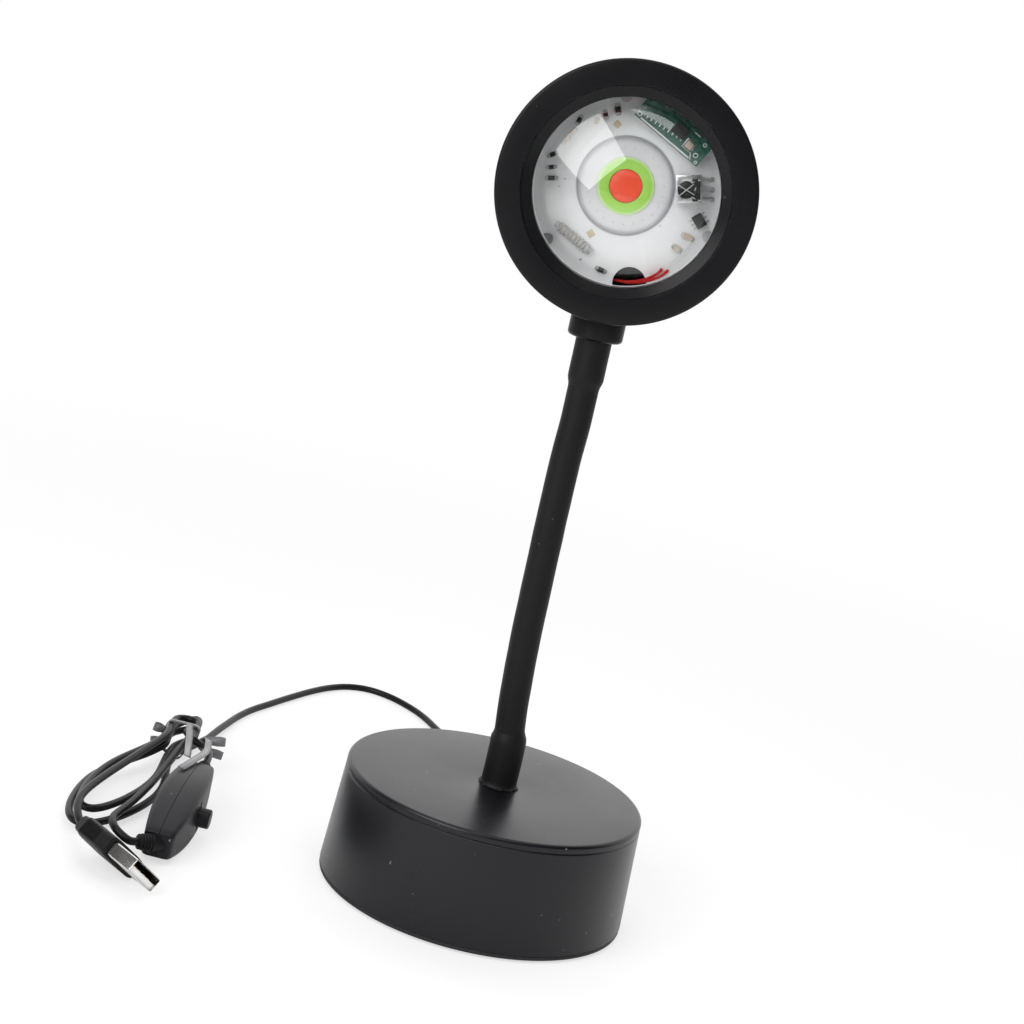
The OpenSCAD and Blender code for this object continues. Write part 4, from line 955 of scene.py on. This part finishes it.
# -------------------------------------------------------------------- head
# A short black can, closed in front by a bezel with a fine stepped ring, and
# behind by a vented cover. A glossy round collar joins it to the neck.
head_rise = 44.0
on_head = Matrix.Translation(head_at) @ Matrix.Rotation(radians(-1.2), 4, "Y")
on_lens = (on_head @ Matrix.Translation((0, 0, head_rise * MM))
           @ Matrix.Rotation(pi / 2, 4, "X"))
across_head = on_head @ Matrix.Translation((0, 0, head_rise * MM)) @ Matrix.Rotation(
    -pi / 2, 4, "X")
gloss = moulded("collar plastic", (0.0035, 0.0035, 0.0039), 0.1, 1.4, 0.04, 900.0,
                Specular_IOR_Level=0.14)
collar = finished("head_collar", turned(softened([
    (3.95, 0, 0.2), (8.2, 0, 1.2), (8.2, 12, 0), (3.95, 12, 0)], 0.2, 8), 128),
    gloss, "head", 40, ["collar"], on_head)
cut_out(collar, rod(36.45, -20, 20, across_head, 256))
collar.data.set_sharp_from_angle(angle=radians(40))
soft_edge = collar.modifiers.new("edge", "BEVEL")
soft_edge.width, soft_edge.segments = 0.25 * MM, 3
soft_edge.limit_method, soft_edge.angle_limit = "ANGLE", radians(35)

matte = moulded("head plastic", (0.0045, 0.0045, 0.0052), 0.3, 1.3, 0.25, 2400.0, 0.2)
lugs = [block((10.2, 8, 2), (30.5, 0, 1.4), on_lens @ Matrix.Rotation(
    radians(a), 4, "Z"), 0.2) for a in (103, 223, 343)]
housing = finished("head_can", gathered(turned(softened([
    (34.8, -19), (36.4, -19), (36.4, 18), (34.8, 18)], 0.25, 4), 192)), matte,
    "head", 35, ["head_housing"], on_lens)
cut_out(housing, rod(4.1, 0, 14, on_head))
housing.data.set_sharp_from_angle(angle=radians(35))
lug_piece = finished("head_lugs", gathered(*lugs), matte, "head", 35)
eased("rear_cover", matte, 0.2)
gauze = moulded("vent gauze", (0.004, 0.004, 0.004), 0.7, 1.3, 0.6, 2400.0,
                Specular_IOR_Level=0.05)
finished("vent_gauze", turned([(0, -17.3), (30, -17.3), (30, -17.1), (0, -17.1)], 64),
         gauze, "head", 40, place=on_lens)
bezel = finished("head_bezel", turned(softened([
    (28.3, 11), (34.6, 11), (34.6, 18, 0.1), (36.7, 18, 0.25), (36.7, 25, 0.8),
    (29.5, 25, 0.16), (29.3, 24, 0.2), (26.3, 22.6, 0.5), (26.3, 19.2, 0.1),
    (28.3, 19.2, 0)], 0.3, 6), 256), matte, "head", 30, ["front_bezel"], on_lens)
eased("head_locknut", steel, 0.25)
eased("lens_gasket", rubber, 0.1)
rim_white = moulded("rim white", (0.82, 0.82, 0.83), 0.4, 1.05, 0.2, 1500.0)
eased("lens_retainer", rim_white, 0.2)
finished("head_liner", turned(softened([
    (28.8, 5.2), (29.6, 5.2), (29.6, 11), (28.8, 11)], 0.15, 3), 128), rim_white,
    "head", 35, place=on_lens)

# The lens is one clear moulding: a flange under the bezel's lip and a shallow
# dome. It mirrors the studio's soft boxes, most of all towards its edge.
clear = Finish("clear lens", (0.9, 0.92, 0.92), 0.02)
clear.tree.nodes.remove(clear.shader)
window = clear.node("BsdfTransparent", {}, {"Color": (0.985, 0.99, 0.99, 1.0)})
mirror = clear.node("BsdfGlossy", {}, {"Color": (1.0, 1.0, 1.0, 1.0),
                                       "Roughness": 0.02})
edge = clear.node("Fresnel", {}, {"IOR": 1.62})
clear.feed(clear.tree.nodes["Material Output"].inputs["Surface"],
           clear.node("MixShader", {}, {0: edge, 1: window, 2: mirror}))
sphere_r, crown = 46.57, 27.1
dome = [(26.1 * cos(k * pi / 48),
         crown - sphere_r + sqrt(sphere_r**2 - (26.1 * cos(k * pi / 48)) ** 2))
        for k in range(24)]
lens = finished("lens_dome", turned(softened([
    (0, 16.1), (28.1, 16.1), (28.1, 19.1)], 0.15, 3) + [(26.1, 19.1)] + dome[1:]
    + [(0, crown)], 192), clear, "head", 40, ["lens"], on_lens)
# Clear plastic casts next to no shadow on the board behind it.
lens.visible_shadow = False

# ------------------------------------------------------------------- board
# A round white circuit board with a lamp module under its small sunset
# filter, and a green driver board on pins beside it. Printed words are left
# out; the plain rings, pads and rules stay. The board's darker middle and paler
# rim are painted light, and the soft grey rings round the module's edge are
# painted shade.
on_board = (on_lens @ Matrix.Translation((0, 0, 5 * MM))
            @ Matrix.Rotation(radians(13.0), 4, "Z"))
on_module = on_board @ Matrix.Translation((-0.4 * MM, 1.4 * MM, 0))


def in_frame(finish, place):
    """Object coordinates turned into a piece's own frame, in metres."""
    turn = place.to_euler("XYZ")
    return finish.node("Mapping", {"vector_type": "TEXTURE"}, {
        "Vector": finish.place(), "Location": place.translation,
        "Rotation": (turn.x, turn.y, turn.z)})


def radius_in(finish, vector):
    x, y = finish.part(vector, 0), finish.part(vector, 1)
    return finish.node("Math", {"operation": "SQRT"}, {0: x * x + y * y})


def ring_at(finish, vector, radius, half, soft=0.08):
    """1 on a circle of that radius about the frame's axis, 0 off it."""
    r = radius_in(finish, vector)
    off = finish.node("Math", {"operation": "ABSOLUTE"}, {0: r - radius * MM})
    return finish.node("MapRange", {}, {
        "Value": off, "From Min": half * MM, "From Max": (half + soft) * MM,
        "To Min": 1.0, "To Max": 0.0})


white_board = Finish("board white", (0.85, 0.85, 0.86), 0.35)
own = in_frame(white_board, on_board)
cloud = white_board.grain(160.0, 3.0)
fine = white_board.grain(1800.0, 2.0)
# Painted light: the board's white is painted darker in its middle and paler from 13 to 20
# mm out, standing in for the light that reaches its rim.
rim = white_board.node("MapRange", {}, {
    "Value": radius_in(white_board, own), "From Min": 13 * MM, "From Max": 20 * MM,
    "To Min": 0.0, "To Max": 1.0})
shade = white_board.blend(rim, (0.72, 0.72, 0.74), (0.97, 0.97, 0.98))
shade = white_board.blend(cloud * 0.25, shade, (0.8, 0.8, 0.82))
# Painted shade: a soft grey ring on the board round the module's foot.
own = in_frame(white_board, on_module)
shade = white_board.blend(ring_at(white_board, own, 13.85, 0.16, 0.5), shade,
                          (0.3, 0.3, 0.32))
white_board.give("Base Color", shade)
white_board.give("Roughness", 0.3 + fine * 0.15)
white_board.relief(fine, 0.15, 0.00005)
eased("led_board", white_board, 0.12)
eased("board_screws", steel, 0.12)

white_module = Finish("module white", (0.78, 0.78, 0.8), 0.4)
own = in_frame(white_module, on_module)
cloud = white_module.grain(240.0, 3.0)
fine = white_module.grain(2600.0, 2.0)
# Painted shade: the module is painted greyer than the board, for its dimmer middle.
shade = white_module.blend(cloud, (0.58, 0.58, 0.59), (0.66, 0.66, 0.67))
# Painted shade: a grey ring on the module's shoulder, for the shade of its edge.
shade = white_module.blend(ring_at(white_module, own, 13.3, 0.15, 0.7), shade,
                           (0.5, 0.5, 0.52))
white_module.give("Base Color", shade)
white_module.give("Roughness", 0.34 + fine * 0.16)
white_module.relief(fine, 0.15, 0.00005)
module = finished("lamp_module", turned(
    [(0, 0), (13.8, 0), (13.8, 0.1), (13.65, 0.32), (13.2, 0.62), (12.6, 0.85),
     (11.8, 0.98), (10.8, 1), (0, 1)], 128), white_module, "head", 60,
    ["led_module"], on_module)

lime = Finish("filter yellow-green", (0.32, 0.62, 0.08), 0.3)
own = in_frame(lime, on_module)
warm = lime.grain(700.0, 3.0)
lime.give("Base Color", lime.blend(ring_at(lime, own, 8.4, 0.1, 1.0), lime.blend(
    warm, (0.27, 0.55, 0.06), (0.34, 0.64, 0.09)), (0.6, 0.76, 0.42)))
lime.give("Roughness", 0.26 + warm * 0.1)
eased("filter_ring", lime, 0.12)
red = mottled("filter red", (0.74, 0.05, 0.014), (0.84, 0.08, 0.022), 0.24, 0.1,
              700.0)
eased("filter_core", red, 0.25)

anodised = moulded("black anodised aluminium", (0.012, 0.012, 0.013), 0.4, 1.4, 0.3,
                   1200.0, Metallic=0.6)
eased("heat_sink", anodised, 0.2)
green = mottled("solder mask green", (0.006, 0.075, 0.05), (0.015, 0.15, 0.1), 0.2,
                0.14, 420.0, 0.6, 4.0, Coat_Weight=0.4, Coat_Roughness=0.1)
green.relief(green.patch, 0.2, 0.00005)
eased("driver_board", green, 0.1)
part_black = moulded("component black", (0.02, 0.02, 0.021), 0.45, 1.5, 0.4, 2600.0)
for node in ("driver_chip", "header_pins", "chips", "ir_eye"):
    eased(node, part_black, 0.1)
can_metal = mottled("tinned steel", (0.45, 0.45, 0.45), (0.7, 0.7, 0.69), 0.2, 0.2,
                    300.0, Metallic=1.0)
eased("ir_receiver", can_metal, 0.12)
wound = mottled("coil windings", (0.4, 0.39, 0.37), (0.6, 0.59, 0.56), 0.42, 0.2,
                600.0, Metallic=0.5)
eased("coil_inductor", wound, 0.08)
tan_part = moulded("ceramic tan", (0.6, 0.5, 0.36), 0.5, 1.2, 0.3, 2000.0)
eased("small_parts", tan_part, 0.1)
red_vinyl = moulded("wire insulation", (0.45, 0.015, 0.012), 0.35, 1.4, 0.2, 2000.0)
eased("head_wires", red_vinyl, 0.0)

# Solder and print on the boards: end caps and pads of the small parts, the
# eye's three soldered legs, and plain white rules, rings and ticks.
on_driver = (on_board @ Matrix.Translation((13.8 * MM, 17.4 * MM, 4 * MM))
             @ Matrix.Rotation(radians(-40.4), 4, "Z"))


def at_part(x, y, turn=0.0, z=0.0, base=on_board):
    return (base @ Matrix.Translation(Vector((x, y, z)) * MM)
            @ Matrix.Rotation(radians(turn), 4, "Z"))


capped = [(-21.6, 3.9, 2.6, 1.3, 1, 0), (-21.6, 7, 2, 1.2, 0.6, 4),
          (-21.2, 10.6, 2.2, 1.3, 0.6, 20), (-13.5, 20.1, 2.2, 1.3, 0.6, 60),
          (-6, 21.5, 1.3, 1.8, 0.6, 15), (-2.5, 22.9, 1.6, 2.3, 0.8, 8),
          (-7.7, -22.4, 2.4, 1.4, 1, -25), (17.2, -13.3, 2.8, 1.7, 1, -28),
          (14.1, -16.5, 2.2, 1.6, 0.8, -35), (-17.2, 14.5, 2.2, 1.3, 0.6, 40),
          (-15.2, 16.8, 2, 1.2, 0.6, 45)]
tin = []
for x, y, w, d, h, turn in capped:
    here = at_part(x, y, turn)
    for side in (-1, 1):
        if w > d:
            tin.append(block((0.42, d + 0.1, h + 0.08), (side * (w / 2 - 0.12), 0, 0),
                             here, 0.05))
            tin.append(block((0.7, d * 0.85, 0.1), (side * (w / 2 + 0.25), 0, 0), here))
        else:
            tin.append(block((w + 0.1, 0.42, h + 0.08), (0, side * (d / 2 - 0.12), 0),
                             here, 0.05))
            tin.append(block((w * 0.85, 0.7, 0.1), (0, side * (d / 2 + 0.25), 0), here))
chip = at_part(20.5, -8.8, 30)
for side in (-1, 1):
    for y in (-1.3, 0, 1.3):
        tin.append(block((0.75, 0.42, 0.35), (side * 1.8, y, 0.05), chip, 0.08))
        tin.append(block((0.5, 0.6, 0.12), (side * 2.25, y, 0), chip, 0.04))
for y in (-3.0, 0.0, 3.1):
    ball = bmesh.new()
    bmesh.ops.create_uvsphere(ball, u_segments=20, v_segments=12, radius=0.75 * MM,
                              matrix=at_part(24.2, y * 0.95, 0, 0.4))
    tin.append(ball)
    tin.append(rod(0.3, 0, 3.6, at_part(20.9, y * 0.9, 0, 0.9)
                   @ Matrix.Rotation(pi / 2, 4, "Y"), 16))
for turn in (38, -32):
    tin.append(block((5.4, 0.28, 0.22), (0, 0, 0.5), at_part(16.8, 0.2, turn, 5.0),
                     0.08))
for x, y, turn in ((18.6, 2.3, 20), (19.3, 0.4, 70), (18.9, -2.1, -30), (20.5, -2.7, 0),
                   (20.6, 2.9, 10)):
    tin.append(block((1.0, 0.35, 0.2), (0, 0, 0.5), at_part(x, y, turn, 5.0), 0.06))
tin.append(block((3.1, 3.1, 0.5), (6, -1.2, 0), on_driver, 0.1))
for x, y in ((-19.4, 1.6), (-17.8, 3.6), (9.3, -10.1), (-13.6, -19.4)):
    tin.append(block((0.7, 0.55, 0.25), (x, y, 0), on_board, 0.08))
solder = finished("board_solder", gathered(*tin), can_metal, "head", 40)

shade_black = moulded("receiver shade", (0.006, 0.006, 0.006), 0.12, 1.4, 0.1, 900.0)
shades = [turned([(0, 0), (2.5, 0), (2.45, 0.15), (2.0, 0.35), (0, 0.45)], 48),
          block((2.3, 6.4, 0.5), (0, 0, 0), at_part(19.6, 0.1, 0, 5.0), 0.15)]
shades[0].transform(at_part(16.8, 0.2, 0, 5.0))
finished("receiver_shade", gathered(*shades), shade_black, "head", 40)

print_white = mottled("board print", (0.72, 0.72, 0.72), (0.88, 0.88, 0.88), 0.5, 0,
                      900.0)
marks = [block((17.6, 0.5, 0.04), (-0.7, -4.0, 0), on_driver)]
for k in range(9):
    marks.append(block((0.35, 0.85, 0.04), (-8.2 + k * 1.42, -2.75 + k * 0.17, 0),
                       on_driver, 0, 8))
for x, y, r in ((-10.4, -3.3, 0.75), (9.2, -2.2, 0.75), (9.4, 1.6, 0.6),
                (10.4, -3.7, 0.5)):
    marks.append(turned([(r - 0.28, 0), (r, 0), (r, 0.05), (r - 0.28, 0.05)], 24))
    marks[-1].transform(at_part(x, y, 0, 0, on_driver))
marks += [block((0.3, 2.2, 0.04), (-11.2, -3.0, 0), on_driver),
          block((0.3, 2.4, 0.04), (8.0, -3.2, 0), on_driver, 0, 35),
          block((2.0, 0.3, 0.04), (6.0, 2.6, 0), on_driver)]
finished("driver_print", gathered(*marks), print_white, "head", 40)
beige = mottled("chip window", (0.55, 0.44, 0.34), (0.7, 0.62, 0.52), 0.4, 0, 900.0)
finished("chip_window", block((2.1, 2.1, 0.06), (6, -1.2, 0.8), on_driver, 0.02), beige,
         "head", 40)
grey_print = mottled("board marks", (0.3, 0.3, 0.32), (0.6, 0.6, 0.62), 0.5, 0,
                     500.0)
marks = []
for k in range(22):
    a = radians(188 + k * 15.5)
    r = 10.9 + 0.7 * noise.noise(Vector((k * 3.7, 0.0, 2.0)))
    low = sin(a) < -0.2
    marks.append(block((0.75 if low else 0.5, 0.26, 0.03), (0, 0, 0), at_part(
        r * cos(a), r * sin(a), 188 + k * 15.5 + (60 if k % 3 else 0), 1.0, on_module)))
finished("module_marks", gathered(*marks), grey_print, "head", 40)

# ------------------------------------------------------------------- stage
# A plain pale floor in a white studio that is dim behind the camera, with a
# large soft box at the upper left, a strip above the right, one overhead and a
# fill from the front that the gloss does not mirror.
bm = bmesh.new()
bmesh.ops.create_grid(bm, x_segments=2, y_segments=2, size=3.0)
data = bpy.data.meshes.new("floor")
bm.to_mesh(data)
bm.free()
floor = bpy.data.objects.new("floor", data)
scene.collection.objects.link(floor)
paper = Finish("floor paper", (0.9, 0.9, 0.9), 0.9)
paper.give("Base Color", paper.blend(paper.grain(3.0), (0.89, 0.89, 0.89),
                                     (0.91, 0.91, 0.91)))
white = paper.node("Emission", {}, {"Color": (1.0, 1.0, 1.0, 1.0), "Strength": 1.0})
by_eye = paper.node("LightPath", out="Is Camera Ray")
spot = paper.place()
far = paper.node("VectorMath", {"operation": "LENGTH"}, {0: spot}, out="Value")
share = paper.node("MapRange", {}, {"Value": far, "From Min": 0.2, "From Max": 0.7,
                                    "To Min": 0.62, "To Max": 1.0})
paper.feed(paper.tree.nodes["Material Output"].inputs["Surface"], paper.node(
    "MixShader", {}, {0: by_eye * share, 1: Tone(paper, paper.shader.outputs[0]),
                      2: white}))
data.materials.append(paper.mat)

room = bpy.data.worlds.new("white room")
room.use_nodes = True
scene.world = room
nodes, links = room.node_tree.nodes, room.node_tree.links


def glow(strength):
    node = nodes.new("ShaderNodeBackground")
    node.inputs["Color"].default_value = (1.0, 1.0, 1.0, 1.0)
    node.inputs["Strength"].default_value = strength
    return node


def mixed(share, first, second):
    node = nodes.new("ShaderNodeMixShader")
    links.new(share, node.inputs[0])
    links.new(first.outputs[0], node.inputs[1])
    links.new(second.outputs[0], node.inputs[2])
    return node


# The wall behind the object is white and the room behind the camera is dim.
towards = nodes.new("ShaderNodeTexCoord")
split = nodes.new("ShaderNodeSeparateXYZ")
links.new(towards.outputs["Generated"], split.inputs[0])
wall = nodes.new("ShaderNodeMapRange")
wall.interpolation_type = "SMOOTHSTEP"
wall.inputs["From Min"].default_value = 0.1
wall.inputs["From Max"].default_value = 0.55
links.new(split.outputs["Y"], wall.inputs["Value"])
rays = nodes.new("ShaderNodeLightPath")
lit = mixed(wall.outputs["Result"], glow(0.1), glow(1.4))
seen = mixed(rays.outputs["Is Camera Ray"], lit, glow(1.0))
links.new(seen.outputs[0], nodes["World Output"].inputs["Surface"])


def soft_box(name, across_deg, up_deg, away, size, turn, radiance):
    """A soft box seen from the head at these angles from the camera."""
    data = bpy.data.lights.new(name, "AREA")
    data.shape = "RECTANGLE"
    data.size, data.size_y = size
    data.energy = radiance * pi * size[0] * size[1]
    lamp = bpy.data.objects.new(name, data)
    way = (right * tan(radians(across_deg)) + up * tan(radians(up_deg))
           - ahead).normalized()
    lamp.matrix_world = (
        Matrix.Translation(Vector((0.0, -0.02, 0.2)) + way * away)
        @ way.to_track_quat("Z", "Y").to_matrix().to_4x4()
        @ Matrix.Rotation(radians(turn), 4, "Z"))
    scene.collection.objects.link(lamp)
    return lamp


soft_box("box_left", -34, 26, 0.9, (0.6, 0.84), 59, 4.8)
soft_box("box_strip", 20, 51.5, 1.0, (0.62, 0.28), -20, 3.6)
soft_box("box_front", 36, 4, 1.1, (0.8, 0.8), 0, 2.5).visible_glossy = False
over = bpy.data.lights.new("box_over", "AREA")
over.shape, over.size, over.energy = "SQUARE", 1.4, 5.0
above = bpy.data.objects.new("box_over", over)
above.location = (0.1, 0.25, 1.3)
scene.collection.objects.link(above)
